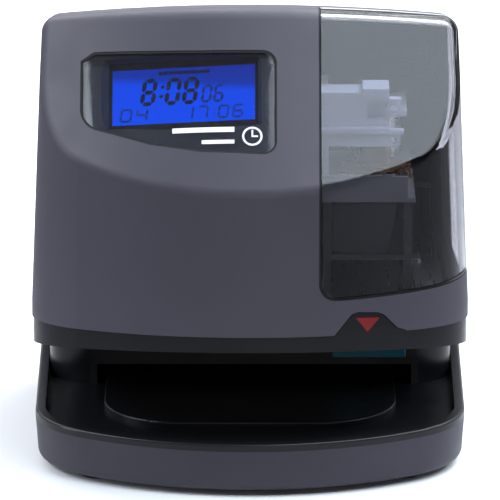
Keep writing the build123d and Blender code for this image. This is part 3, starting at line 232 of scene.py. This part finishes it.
def moulded(name, colour, roughness, grain=1800.0, grain_height=0.00002, mottle=0.06, specular=0.5):
    """Moulded plastic: fine grain of grain_height metres, slight mottling and uneven gloss."""
    made = new_material(name)
    tree = made.node_tree
    shader = tree.nodes["Principled BSDF"]
    cloud = noise(tree, CLOUD_SCALE, 3.0)
    dark = tuple(c * (1 - mottle) for c in colour)
    light = tuple(c * (1 + mottle) for c in colour)
    tree.links.new(ramp(tree, cloud, [(0.35, dark), (0.65, light)]), shader.inputs["Base Color"])
    fine = noise(tree, grain, 2.0, 0.6)
    smoothest, roughest = roughness * (1 - GLOSS_SWING), roughness * (1 + GLOSS_SWING)
    gloss = spread(tree, noise(tree, GLOSS_SCALE, 4.0), smoothest, roughest)
    tree.links.new(gloss, shader.inputs["Roughness"])
    first = bump(tree, fine, grain_height, 0.8)
    second = bump(tree, noise(tree, WAVE_SCALE, 1.0), WAVE_HEIGHT, 0.25, first)
    tree.links.new(second, shader.inputs["Normal"])
    shader.inputs["Specular IOR Level"].default_value = specular
    return made


def charcoal_cover():
    """Charcoal grained plastic of the cover; the base takes a darker copy of it."""
    return moulded("charcoal_cover", (0.058, 0.053, 0.071), 0.50, 1500.0, 0.00003, mottle=0.03)


def charcoal_base_painted_shade():
    """The base's plastic: the cover's charcoal painted a shade darker, as painted shade on the low base.
    """
    # painted shade: a darker copy of the cover's plastic, used in place of less light on the base
    colour = (0.036, 0.032, 0.045)
    return moulded("charcoal_base_painted_shade", colour, 0.50, 1500.0, 0.00003, mottle=0.03, specular=0.3)


def black_hood():
    """Satin black plastic of the band, tray and column."""
    return moulded("black_hood", (0.007, 0.007, 0.009), 0.34, 1400.0, 0.000015, specular=0.35)


def black_inner():
    """Plain black plastic inside."""
    return moulded("black_inner", (0.014, 0.014, 0.017), 0.45, 1500.0, 0.00001)


def clear_window():
    """Clear, slightly grey moulded window, with faint flow waves."""
    made = new_material("clear_window")
    tree = made.node_tree
    shader = tree.nodes["Principled BSDF"]
    shader.inputs["Base Color"].default_value = (0.86, 0.85, 0.89, 1)
    shader.inputs["Transmission Weight"].default_value = 1.0
    shader.inputs["IOR"].default_value = 1.35
    tree.links.new(spread(tree, noise(tree, 220.0, 5.0), 0.015, 0.05), shader.inputs["Roughness"])
    tree.links.new(bump(tree, noise(tree, 18.0, 0.0), 0.00004, 0.4), shader.inputs["Normal"])
    return made


def smoked_lens():
    """Dark smoked lens over the display."""
    made = new_material("smoked_lens")
    tree = made.node_tree
    shader = tree.nodes["Principled BSDF"]
    shader.inputs["Base Color"].default_value = (0.56, 0.57, 0.60, 1)
    shader.inputs["Transmission Weight"].default_value = 0.985
    shader.inputs["IOR"].default_value = 1.34
    tree.links.new(spread(tree, noise(tree, 260.0, 5.0), 0.02, 0.06), shader.inputs["Roughness"])
    return made


def seal_rubber():
    """Matt black rubber."""
    return moulded("seal_rubber", (0.006, 0.006, 0.007), 0.7, 2500.0, 0.00001)


def teal_guide():
    """Translucent teal plastic."""
    made = moulded("teal_guide", (0.012, 0.16, 0.24), 0.22, 900.0, 0.000006)
    made.node_tree.nodes["Principled BSDF"].inputs["Transmission Weight"].default_value = 0.2
    return made


def red_marker():
    """Red plastic marker."""
    return moulded("red_marker", (0.20, 0.008, 0.008), 0.35, 1500.0, 0.00001)


def grey_mechanism():
    """Light blue-grey plastic of the ribbon mechanism."""
    return moulded("grey_mechanism", (0.30, 0.335, 0.43), 0.42, 1200.0, 0.00001)


def deck_plastic():
    """Mid-grey plastic of the ribbon deck."""
    return moulded("deck_plastic", (0.10, 0.105, 0.12), 0.42, 1200.0, 0.00001)


def brown_knob():
    """Brown moulded knob."""
    return moulded("brown_knob", (0.085, 0.045, 0.022), 0.35, 1200.0, 0.00001)


def natural_nylon():
    """Waxy natural nylon, which lets a little light in."""
    made = moulded("natural_nylon", (0.62, 0.60, 0.54), 0.38, 900.0, 0.000008)
    shader = made.node_tree.nodes["Principled BSDF"]
    shader.inputs["Subsurface Weight"].default_value = 0.15
    shader.inputs["Subsurface Scale"].default_value = 0.002
    return made


def metal(name, colour, roughness, stretch):
    """Metal with fine scratches along the direction in which stretch is small."""
    made = new_material(name)
    tree = made.node_tree
    shader = tree.nodes["Principled BSDF"]
    shader.inputs["Metallic"].default_value = 1.0
    lines = noise(tree, SCRATCH_SCALE, 3.0, 0.6, stretch)
    dark = tuple(c * SCRATCH_SHADE for c in colour)
    tree.links.new(ramp(tree, lines, [(0.3, dark), (0.7, colour)]), shader.inputs["Base Color"])
    tree.links.new(spread(tree, lines, roughness * 0.75, roughness * 1.25), shader.inputs["Roughness"])
    tree.links.new(bump(tree, lines, SCRATCH_HEIGHT, 0.5), shader.inputs["Normal"])
    return made


def zinc_steel():
    """Zinc-plated sheet and screws."""
    return metal("zinc_steel", (0.62, 0.63, 0.66), 0.32, (1, 0.05, 1))


def ground_steel():
    """Ground round bar."""
    return metal("ground_steel", (0.70, 0.70, 0.71), 0.16, (0.03, 1, 1))


def nickel_lock():
    """Nickel-plated lock."""
    return metal("nickel_lock", (0.74, 0.73, 0.70), 0.12, (1, 1, 0.2))


def sintered_bronze():
    """Oiled sintered bronze."""
    return metal("sintered_bronze", (0.52, 0.34, 0.16), 0.42, (1, 1, 1))


def inked_cloth():
    """Woven ribbon soaked in ink."""
    made = new_material("inked_cloth")
    tree = made.node_tree
    shader = tree.nodes["Principled BSDF"]
    weave = tree.nodes.new("ShaderNodeTexWave")
    weave.inputs["Scale"].default_value = 900.0
    weave.inputs["Distortion"].default_value = 1.0
    place = tree.nodes.new("ShaderNodeTexCoord")
    tree.links.new(place.outputs["Object"], weave.inputs["Vector"])
    stops = [(0.2, (0.004, 0.003, 0.008)), (0.8, (0.02, 0.014, 0.035))]
    tree.links.new(ramp(tree, weave.outputs["Fac"], stops), shader.inputs["Base Color"])
    shader.inputs["Roughness"].default_value = 0.8
    shader.inputs["Sheen Weight"].default_value = 0.3
    tree.links.new(bump(tree, weave.outputs["Fac"], 0.00005, 0.6), shader.inputs["Normal"])
    return made


def green_board():
    """Lacquered circuit board with its copper showing through as paler tracks."""
    made = new_material("green_board")
    tree = made.node_tree
    shader = tree.nodes["Principled BSDF"]
    tracks = tree.nodes.new("ShaderNodeTexVoronoi")
    tracks.feature = "DISTANCE_TO_EDGE"
    tracks.inputs["Scale"].default_value = 220.0
    place = tree.nodes.new("ShaderNodeTexCoord")
    tree.links.new(place.outputs["Object"], tracks.inputs["Vector"])
    stops = [(0.04, (0.03, 0.20, 0.08)), (0.10, (0.008, 0.07, 0.025))]
    tree.links.new(ramp(tree, tracks.outputs["Distance"], stops), shader.inputs["Base Color"])
    shader.inputs["Roughness"].default_value = 0.3
    shader.inputs["Coat Weight"].default_value = 0.5
    tree.links.new(bump(tree, tracks.outputs["Distance"], 0.00003, 0.3), shader.inputs["Normal"])
    return made


def chip_black():
    """Epoxy of chips and capacitors."""
    return moulded("chip_black", (0.018, 0.018, 0.020), 0.5, 1800.0, 0.00001)


def battery_sleeve():
    """Shrunk green sleeve on the cells."""
    return moulded("battery_sleeve", (0.02, 0.16, 0.07), 0.3, 500.0, 0.00003)


def lcd_blue_and_painted_shade():
    """Blue back-lit liquid crystal, with painted shade darkening it towards its top edge."""
    made = new_material("lcd_blue_and_painted_shade")
    tree = made.node_tree
    shader = tree.nodes["Principled BSDF"]
    place = tree.nodes.new("ShaderNodeTexCoord")
    split = tree.nodes.new("ShaderNodeSeparateXYZ")
    tree.links.new(place.outputs["Object"], split.inputs["Vector"])
    low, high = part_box("lcd_glass")
    rise = tree.nodes.new("ShaderNodeMapRange")
    rise.inputs["From Min"].default_value = low.z
    rise.inputs["From Max"].default_value = high.z
    tree.links.new(split.outputs["Z"], rise.inputs["Value"])
    # painted shade: the glow drops to a dull blue in the upper part, where the housing's upper lip shades
    # the display
    stops = [
        (0.0, (0.000, 0.080, 1.0)), (0.62, (0.000, 0.070, 0.92)),
        (0.70, (0.003, 0.035, 0.42)), (1.0, (0.012, 0.020, 0.33)),
    ]
    glow_and_painted_shade = ramp(tree, rise.outputs["Result"], stops)
    tree.links.new(glow_and_painted_shade, shader.inputs["Emission Color"])
    shader.inputs["Base Color"].default_value = (0.0, 0.004, 0.03, 1)
    shader.inputs["Emission Strength"].default_value = 1.5
    shader.inputs["Specular IOR Level"].default_value = 0.05
    shader.inputs["Roughness"].default_value = 0.4
    return made


def lcd_ink(name, colour):
    """Liquid crystal that is switched dark, a little uneven."""
    made = new_material(name)
    tree = made.node_tree
    shader = tree.nodes["Principled BSDF"]
    fog = noise(tree, INK_SCALE, 2.0)
    pale = tuple(c * 1.5 + 0.002 for c in colour)
    shade = ramp(tree, fog, [(0.3, colour), (0.7, pale)])
    tree.links.new(shade, shader.inputs["Base Color"])
    tree.links.new(shade, shader.inputs["Emission Color"])
    shader.inputs["Emission Strength"].default_value = 0.5
    shader.inputs["Roughness"].default_value = 0.4
    return made


# painted shade: the print behind the lens is painted darker above this edge
PAINTED_SHADE_EDGE, PAINTED_SHADE_EDGE_SOFT = 0.0108, 0.0002  # where the print turns darker above the display's middle


def mask_print_and_painted_shade():
    """Grey print behind the lens, with painted shade darkening it above the display."""
    made = moulded("mask_print_and_painted_shade", (0.1, 0.1, 0.1), 0.6, 2600.0, 0.000004, mottle=0.04)
    tree = made.node_tree
    shader = tree.nodes["Principled BSDF"]
    plane = DisplayPlane()
    place = tree.nodes.new("ShaderNodeTexCoord")
    rise = tree.nodes.new("ShaderNodeVectorMath")
    rise.operation = "DOT_PRODUCT"
    rise.inputs[1].default_value = plane.up
    tree.links.new(place.outputs["Object"], rise.inputs[0])
    edge = tree.nodes.new("ShaderNodeMapRange")
    start = plane.middle.dot(plane.up) + PAINTED_SHADE_EDGE
    edge.inputs["From Min"].default_value = start - PAINTED_SHADE_EDGE_SOFT
    edge.inputs["From Max"].default_value = start + PAINTED_SHADE_EDGE_SOFT
    tree.links.new(rise.outputs["Value"], edge.inputs["Value"])
    # painted shade: the lower tone is the lit print, and the upper tone is the same print darkened where
    # the housing's upper lip shades it
    stops = [(0.0, (0.105, 0.112, 0.140)), (1.0, (0.062, 0.060, 0.070))]
    tree.links.new(ramp(tree, edge.outputs["Result"], stops), shader.inputs["Base Color"])
    return made


def white_print_and_painted_glow():
    """White screen print, with a faint painted glow."""
    made = moulded("white_print_and_painted_glow", (0.86, 0.86, 0.86), 0.5, 2600.0, 0.000004, mottle=0.03)
    shader = made.node_tree.nodes["Principled BSDF"]
    # painted light: the print glows faintly though it is no lamp
    shader.inputs["Emission Color"].default_value = (1, 1, 1, 1)
    shader.inputs["Emission Strength"].default_value = 0.12
    return made


MATERIALS = {
    charcoal_cover: ["upper_cover"],
    charcoal_base_painted_shade: ["base_shell"],
    black_hood: ["card_tray", "card_table", "rear_column", "hood_frame"],
    black_inner: [
        "ribbon_frame", "ribbon_cassette", "display_holder", "lcd_module", "lever_bracket",
        "card_lever", "power_jack", "buzzer", "set_button_1", "set_button_2", "set_button_3",
    ],
    clear_window: ["print_window"],
    smoked_lens: ["display_lens"],
    seal_rubber: ["lens_gasket", "window_gasket", "base_feet", "platen", "drive_belt"],
    teal_guide: ["card_guide"],
    red_marker: ["print_marker"],
    grey_mechanism: ["ribbon_bracket", "carriage_body"],
    deck_plastic: ["ribbon_deck"],
    brown_knob: ["ribbon_knob", "feed_gear"],
    natural_nylon: ["feed_pinion", "motor_pulley", "idler_pulley"],
    zinc_steel: [
        "base_screws", "column_screws", "chassis_screws", "frame_screws", "chassis_plate",
        "print_frame", "lock_catch", "lock_cam", "carriage_motor", "ribbon_motor", "print_head",
    ],
    ground_steel: ["guide_shaft_main", "guide_shaft_rear", "idler_shaft", "lever_pin"],
    nickel_lock: ["lock_body", "lock_nut", "lock_plug"],
    sintered_bronze: ["carriage_bushes"],
    inked_cloth: ["ink_ribbon"],
    green_board: ["display_board", "main_board"],
    chip_black: ["board_components"],
    battery_sleeve: ["backup_battery"],
    lcd_blue_and_painted_shade: ["lcd_glass"],
}


def dress_cad_nodes():
    """Give every carried-over node its finish."""
    for make, names in MATERIALS.items():
        finish = make()
        for name in names:
            for place in NODES[name].material_slots:
                place.material = finish


def mesh_piece(name, mesh, body, finish):
    """A finished piece at the origin, riding on body."""
    piece = bpy.data.objects.new(name, mesh)
    COLLECTION.objects.link(piece)
    if finish:
        mesh.materials.append(finish)
    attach(piece, body)


def to_mesh(made, name):
    """The finished mesh of some bmesh data."""
    mesh = bpy.data.meshes.new(name)
    made.to_mesh(mesh)
    made.free()
    return mesh


# ---- planes and surfaces taken from the frame ---------------------------------------
def joint_axis(name):
    """The axis of a joint, as the frame gives it."""
    return Vector(next(j for j in frame["joints"] if j["name"] == name)["axis"])


FACE_TOLERANCE = 0.0001


class DisplayPlane:
    """The front face of the display glass: its middle, its directions and its size."""

    def __init__(self):
        self.out = -joint_axis("set_button_1_press").normalized()
        points = [v.co.copy() for v in NODES["lcd_glass"].data.vertices]
        front = max(p.dot(self.out) for p in points)
        corners = [p for p in points if p.dot(self.out) > front - FACE_TOLERANCE]
        self.middle = sum(corners, Vector()) / len(corners)
        top_right = max(corners, key=lambda p: (p - self.middle).dot(Vector((1, 0, 0.3))))
        low_right = max(corners, key=lambda p: (p - self.middle).dot(Vector((1, 0, -0.3))))
        self.up = (top_right - low_right).normalized()
        self.right = self.up.cross(self.out).normalized()
        self.height = (top_right - low_right).length
        self.width = 2 * abs((top_right - self.middle).dot(self.right))

    def place(self, x, y, lift=0.0):
        """The point x across and y up from the middle, lifted off the glass, all in metres."""
        return self.middle + self.right * x + self.up * y + self.out * lift


def surface_tree(node):
    """A search tree over a CAD node's mesh."""
    made = bmesh.new()
    made.from_mesh(NODES[node].data)
    tree = BVHTree.FromBMesh(made)
    made.free()
    return tree


# ---- display ------------------------------------------------------------------------
SEGMENTS = {"0": "abcdef", "1": "bc", "4": "fgbc", "6": "afgedc", "7": "abc", "8": "abcdefg"}
LEAN = 0.14  # how far the figures lean sideways for each unit upwards
SEGMENT_LIFT = 0.00012  # off the glass
SEGMENT_GAP = 0.14  # of a stroke's thickness, left free at each end
COLON_RISES = (0.3, 0.7)  # places of the colon's dots, in character heights
COLON_SHIFT, COLON_REACH = 0.15, 0.7  # a dot's offset in gaps, and half its height in thicknesses

# a row's text, then in millimetres: left, foot, character width and height, gap, thickness
TIME_TEXT = [("8:08", -14.0, -2.6, 3.7, 8.4, 2.3, 1.5)]
DATE_TEXT = [
    ("06", 6.6, -2.6, 2.6, 5.6, 1.5, 0.95),
    ("04", -20.5, -8.6, 3.4, 4.2, 2.0, 0.7),
    ("17:06", 1.0, -8.6, 3.0, 4.2, 2.0, 0.7),
]
DARK_INK, FAINT_INK, STATUS_INK = (0.002, 0.010, 0.040), (0.003, 0.022, 0.20), (0.003, 0.010, 0.05)


def segment_strokes(char, width, height):
    """The strokes of a seven-segment character, as pairs of end points."""
    x, y, middle = width, height, height / 2
    ends = {
        "a": ((0, y), (x, y)), "g": ((0, middle), (x, middle)), "d": ((0, 0), (x, 0)),
        "f": ((0, middle), (0, y)), "b": ((x, middle), (x, y)),
        "e": ((0, 0), (0, middle)), "c": ((x, 0), (x, middle)),
    }
    return [ends[k] for k in SEGMENTS[char]]


def add_stroke(mesh, plane, start, end, thickness):
    """A flat bar with pointed ends between two points on the display."""
    a, b = Vector(start), Vector(end)
    along = (b - a).normalized()
    side = Vector((-along.y, along.x)) * thickness / 2
    tip = along * thickness / 2
    a, b = a + along * thickness * SEGMENT_GAP, b - along * thickness * SEGMENT_GAP
    outline = [a, a + tip - side, b - tip - side, b, b - tip + side, a + tip + side]
    points = [plane.place(p.x + p.y * LEAN, p.y, SEGMENT_LIFT) for p in outline]
    mesh.faces.new([mesh.verts.new(p) for p in points])


def add_characters(mesh, plane, text, *sizes):
    """A row of characters; a colon is two small bars."""
    x, y, width, height, gap, thickness = (size * MM for size in sizes)
    for char in text:
        if char == ":":
            for rise in COLON_RISES:
                dot = Vector((x + gap * COLON_SHIFT, y + height * rise))
                reach = Vector((0, thickness * COLON_REACH))
                add_stroke(mesh, plane, dot - reach, dot + reach, thickness)
            x += gap
        else:
            for (x0, y0), (x1, y1) in segment_strokes(char, width, height):
                add_stroke(mesh, plane, (x + x0, y + y0), (x + x1, y + y1), thickness)
            x += width + gap


def display_text(name, rows, ink_name, colour):
    """One piece with rows of characters on the display."""
    plane = DisplayPlane()
    mesh = bmesh.new()
    for row in rows:
        add_characters(mesh, plane, *row)
    mesh_piece(name, to_mesh(mesh, name), "chassis", lcd_ink(ink_name, colour))


def row_tree(finish):
    """Geometry Nodes: a row of equal flat bars with one material."""
    tree = bpy.data.node_groups.new("bar_row", "GeometryNodeTree")
    face = tree.interface
    face.new_socket("Count", in_out="INPUT", socket_type="NodeSocketInt")
    face.new_socket("Pitch", in_out="INPUT", socket_type="NodeSocketVector")
    face.new_socket("Width", in_out="INPUT", socket_type="NodeSocketFloat")
    face.new_socket("Height", in_out="INPUT", socket_type="NodeSocketFloat")
    face.new_socket("Geometry", in_out="OUTPUT", socket_type="NodeSocketGeometry")
    given = tree.nodes.new("NodeGroupInput")
    result = tree.nodes.new("NodeGroupOutput")
    line = tree.nodes.new("GeometryNodeMeshLine")
    bar = tree.nodes.new("GeometryNodeMeshGrid")
    bar.inputs["Vertices X"].default_value = 2
    bar.inputs["Vertices Y"].default_value = 2
    copies = tree.nodes.new("GeometryNodeInstanceOnPoints")
    real = tree.nodes.new("GeometryNodeRealizeInstances")
    paint = tree.nodes.new("GeometryNodeSetMaterial")
    paint.inputs["Material"].default_value = finish
    tree.links.new(given.outputs["Count"], line.inputs["Count"])
    tree.links.new(given.outputs["Pitch"], line.inputs["Offset"])
    tree.links.new(given.outputs["Width"], bar.inputs["Size X"])
    tree.links.new(given.outputs["Height"], bar.inputs["Size Y"])
    tree.links.new(line.outputs["Mesh"], copies.inputs["Points"])
    tree.links.new(bar.outputs["Mesh"], copies.inputs["Instance"])
    tree.links.new(copies.outputs["Instances"], real.inputs["Geometry"])
    tree.links.new(real.outputs["Geometry"], paint.inputs["Geometry"])
    tree.links.new(paint.outputs["Geometry"], result.inputs["Geometry"])
    return tree


def grown(name, tree, settings):
    """The plain mesh that a Geometry Nodes tree makes with the named settings."""
    carrier = bpy.data.objects.new(name, bpy.data.meshes.new(name))
    COLLECTION.objects.link(carrier)
    modifier = carrier.modifiers.new(name, "NODES")
    modifier.node_group = tree
    for item in tree.interface.items_tree:
        if item.in_out == "INPUT" and item.name in settings:
            modifier[item.identifier] = settings[item.name]
    carrier.update_tag()
    evaluated = carrier.evaluated_get(bpy.context.evaluated_depsgraph_get())
    mesh = bpy.data.meshes.new_from_object(evaluated)
    bpy.data.objects.remove(carrier)
    return mesh


STATUS_COUNT = 11
STATUS_PITCH, STATUS_BAR, STATUS_START = 1.62, (1.40, 1.30), (-8.0, 8.3)  # millimetres


def status_row():
    """A row of small status bars along the display's upper edge."""
    plane = DisplayPlane()
    settings = {
        "Count": STATUS_COUNT, "Pitch": (STATUS_PITCH * MM, 0.0, 0.0),
        "Width": STATUS_BAR[0] * MM, "Height": STATUS_BAR[1] * MM,
    }
    finish = lcd_ink("status_ink", STATUS_INK)
    mesh = grown("status_row", row_tree(finish), settings)
    left, foot = (distance * MM for distance in STATUS_START)
    for v in mesh.vertices:
        v.co = plane.place(v.co.x + left, v.co.y + foot, SEGMENT_LIFT)
    mesh_piece("status_row", mesh, "chassis", None)


# ---- lens ---------------------------------------------------------------------------
def ring(mesh, outer, inner, count=48):
    """A flat ring round the origin."""
    loops = []
    turns = [2 * math.pi * k / count for k in range(count)]
    for radius in (outer, inner):
        loops.append([mesh.verts.new((radius * math.cos(a), radius * math.sin(a), 0)) for a in turns])
    for k in range(count):
        n = (k + 1) % count
        mesh.faces.new((loops[0][k], loops[0][n], loops[1][n], loops[1][k]))


def strip(mesh, x0, x1, y0, y1, pieces=12):
    """A flat bar, divided along its length so that it can follow a curved surface."""
    rows = []
    for k in range(pieces + 1):
        x = x0 + (x1 - x0) * k / pieces
        rows.append((mesh.verts.new((x, y0, 0)), mesh.verts.new((x, y1, 0))))
    for left, right in zip(rows, rows[1:]):
        mesh.faces.new((left[0], right[0], right[1], left[1]))


MASK_GAP = 0.00015  # between the print and the lens
MASK_INSET = 0.0002  # of the print inside the lens's border
MASK_LIFT = 0.0004  # of the opening's edge above the display
MASK_STEPS, MASK_RINGS = 180, 4  # round the opening, and from it to the border
MASK_MERGE = 1e-7  # corners of the lens closer than this are one
MASK_STEEPEST = -0.75  # a back face's normal against the display's, at most
MASK_REACH = 0.02  # how far inside the clock the rays towards the lens start
MASK_SPARE_DEPTH = 0.003  # of the print where such a ray misses the lens


def outline_of(faces):
    """The outer border of a set of faces, as points in order."""
    chosen = set(faces)
    steps = {}
    for face in faces:
        for loop in face.loops:
            if len([f for f in loop.edge.link_faces if f in chosen]) == 1:
                steps[loop.vert] = loop.link_loop_next.vert
    loops = []
    while steps:
        loop = [next(iter(steps))]
        while loop[-1] in steps:
            loop.append(steps.pop(loop[-1]))
        loops.append([v.co.copy() for v in loop])
    return max(loops, key=lambda points: sum((a - b).length for a, b in zip(points, points[1:])))


def crossing(loop, direction):
    """How far the closed 2-D loop is from the origin in a direction."""
    across = Vector((-direction.y, direction.x))
    best = 0.0
    for a, b in zip(loop, loop[1:] + loop[:1]):
        side_a, side_b = a.dot(across), b.dot(across)
        if (side_a > 0) != (side_b > 0):
            hit = a.lerp(b, side_a / (side_a - side_b))
            best = max(best, hit.dot(direction))
    return best


def lens_mask():
    """The dark print behind the lens, open over the display."""
    plane = DisplayPlane()
    lens = bmesh.new()
    lens.from_mesh(NODES["display_lens"].data)
    bmesh.ops.remove_doubles(lens, verts=lens.verts, dist=MASK_MERGE)
    back = [f for f in lens.faces if f.normal.dot(plane.out) < MASK_STEEPEST]
    away = [p - plane.middle for p in outline_of(back)]
    border = [Vector((p.dot(plane.right), p.dot(plane.up))) for p in away]
    lens.free()
    half = Vector((plane.width / 2, plane.height / 2))
    hole = [Vector((x * half.x, y * half.y)) for x, y in SQUARE]
    corner = math.atan2(half.y, half.x)
    turns = [2 * math.pi * k / MASK_STEPS for k in range(MASK_STEPS)]
    turns = sorted(turns + [corner, math.pi - corner, math.pi + corner, 2 * math.pi - corner])
    tree = surface_tree("display_lens")
    mesh = bmesh.new()
    rings = []
    for turn in turns:
        way = Vector((math.cos(turn), math.sin(turn)))
        inner, outer = way * crossing(hole, way), way * (crossing(border, way) - MASK_INSET)
        ring_points = [mesh.verts.new(plane.place(*inner, MASK_LIFT))]
        for part in range(1, MASK_RINGS + 1):
            spot = inner.lerp(outer, part / MASK_RINGS)
            hit = tree.ray_cast(plane.place(*spot, -MASK_REACH), plane.out)[0]
            place = hit if hit else plane.place(*spot, MASK_SPARE_DEPTH)
            ring_points.append(mesh.verts.new(place - plane.out * MASK_GAP))
        rings.append(ring_points)
    for first, second in zip(rings, rings[1:] + rings[:1]):
        for k in range(MASK_RINGS):
            mesh.faces.new((first[k], first[k + 1], second[k + 1], second[k]))
    bmesh.ops.recalc_face_normals(mesh, faces=mesh.faces)
    mesh_piece("lens_mask", to_mesh(mesh, "lens_mask"), "cover", mask_print_and_painted_shade())


MARK_RIGHT, MARK_DROP = 0.0242, -0.0178  # the clock sign's centre, from the display's middle
# the sign in millimetres: its ring, half a hand's width and where the hands end
SIGN_OUTER, SIGN_INNER, HAND = 3.4, 2.7, 0.3
HOUR_END, MINUTE_END = 1.9, 2.3
RULES = [(-27.0, -6.0, 1.6, 3.4), (-17.0, -6.0, -2.6, -1.2)]  # left, right, foot and top, likewise
MARK_START, MARK_LIFT = 0.05, 0.00005  # where the rays towards the lens start, and the print's lift


def lens_mark():
    """A plain clock sign and two rules, printed on the lens's lower right."""
    flat = bmesh.new()
    ring(flat, SIGN_OUTER, SIGN_INNER)
    strip(flat, -HAND, HAND, 0.0, MINUTE_END, 2)
    strip(flat, -HAND, HOUR_END, -HAND, HAND, 3)
    for rule in RULES:
        strip(flat, *rule)
    plane = DisplayPlane()
    tree = surface_tree("display_lens")
    corner = plane.place(MARK_RIGHT, MARK_DROP)
    for v in flat.verts:
        start = corner + plane.right * v.co.x * MM + plane.up * v.co.y * MM + plane.out * MARK_START
        hit, normal, _, _ = tree.ray_cast(start, -plane.out)
        v.co = hit + normal * MARK_LIFT
    bmesh.ops.recalc_face_normals(flat, faces=flat.faces)
    mesh_piece("lens_mark", to_mesh(flat, "lens_mark"), "cover", white_print_and_painted_glow())


add_camera()
add_surroundings()
dress_cad_nodes()
display_text("display_time", TIME_TEXT, "lcd_ink_dark", DARK_INK)
display_text("display_date", DATE_TEXT, "lcd_ink_faint", FAINT_INK)
status_row()
lens_mask()
lens_mark()
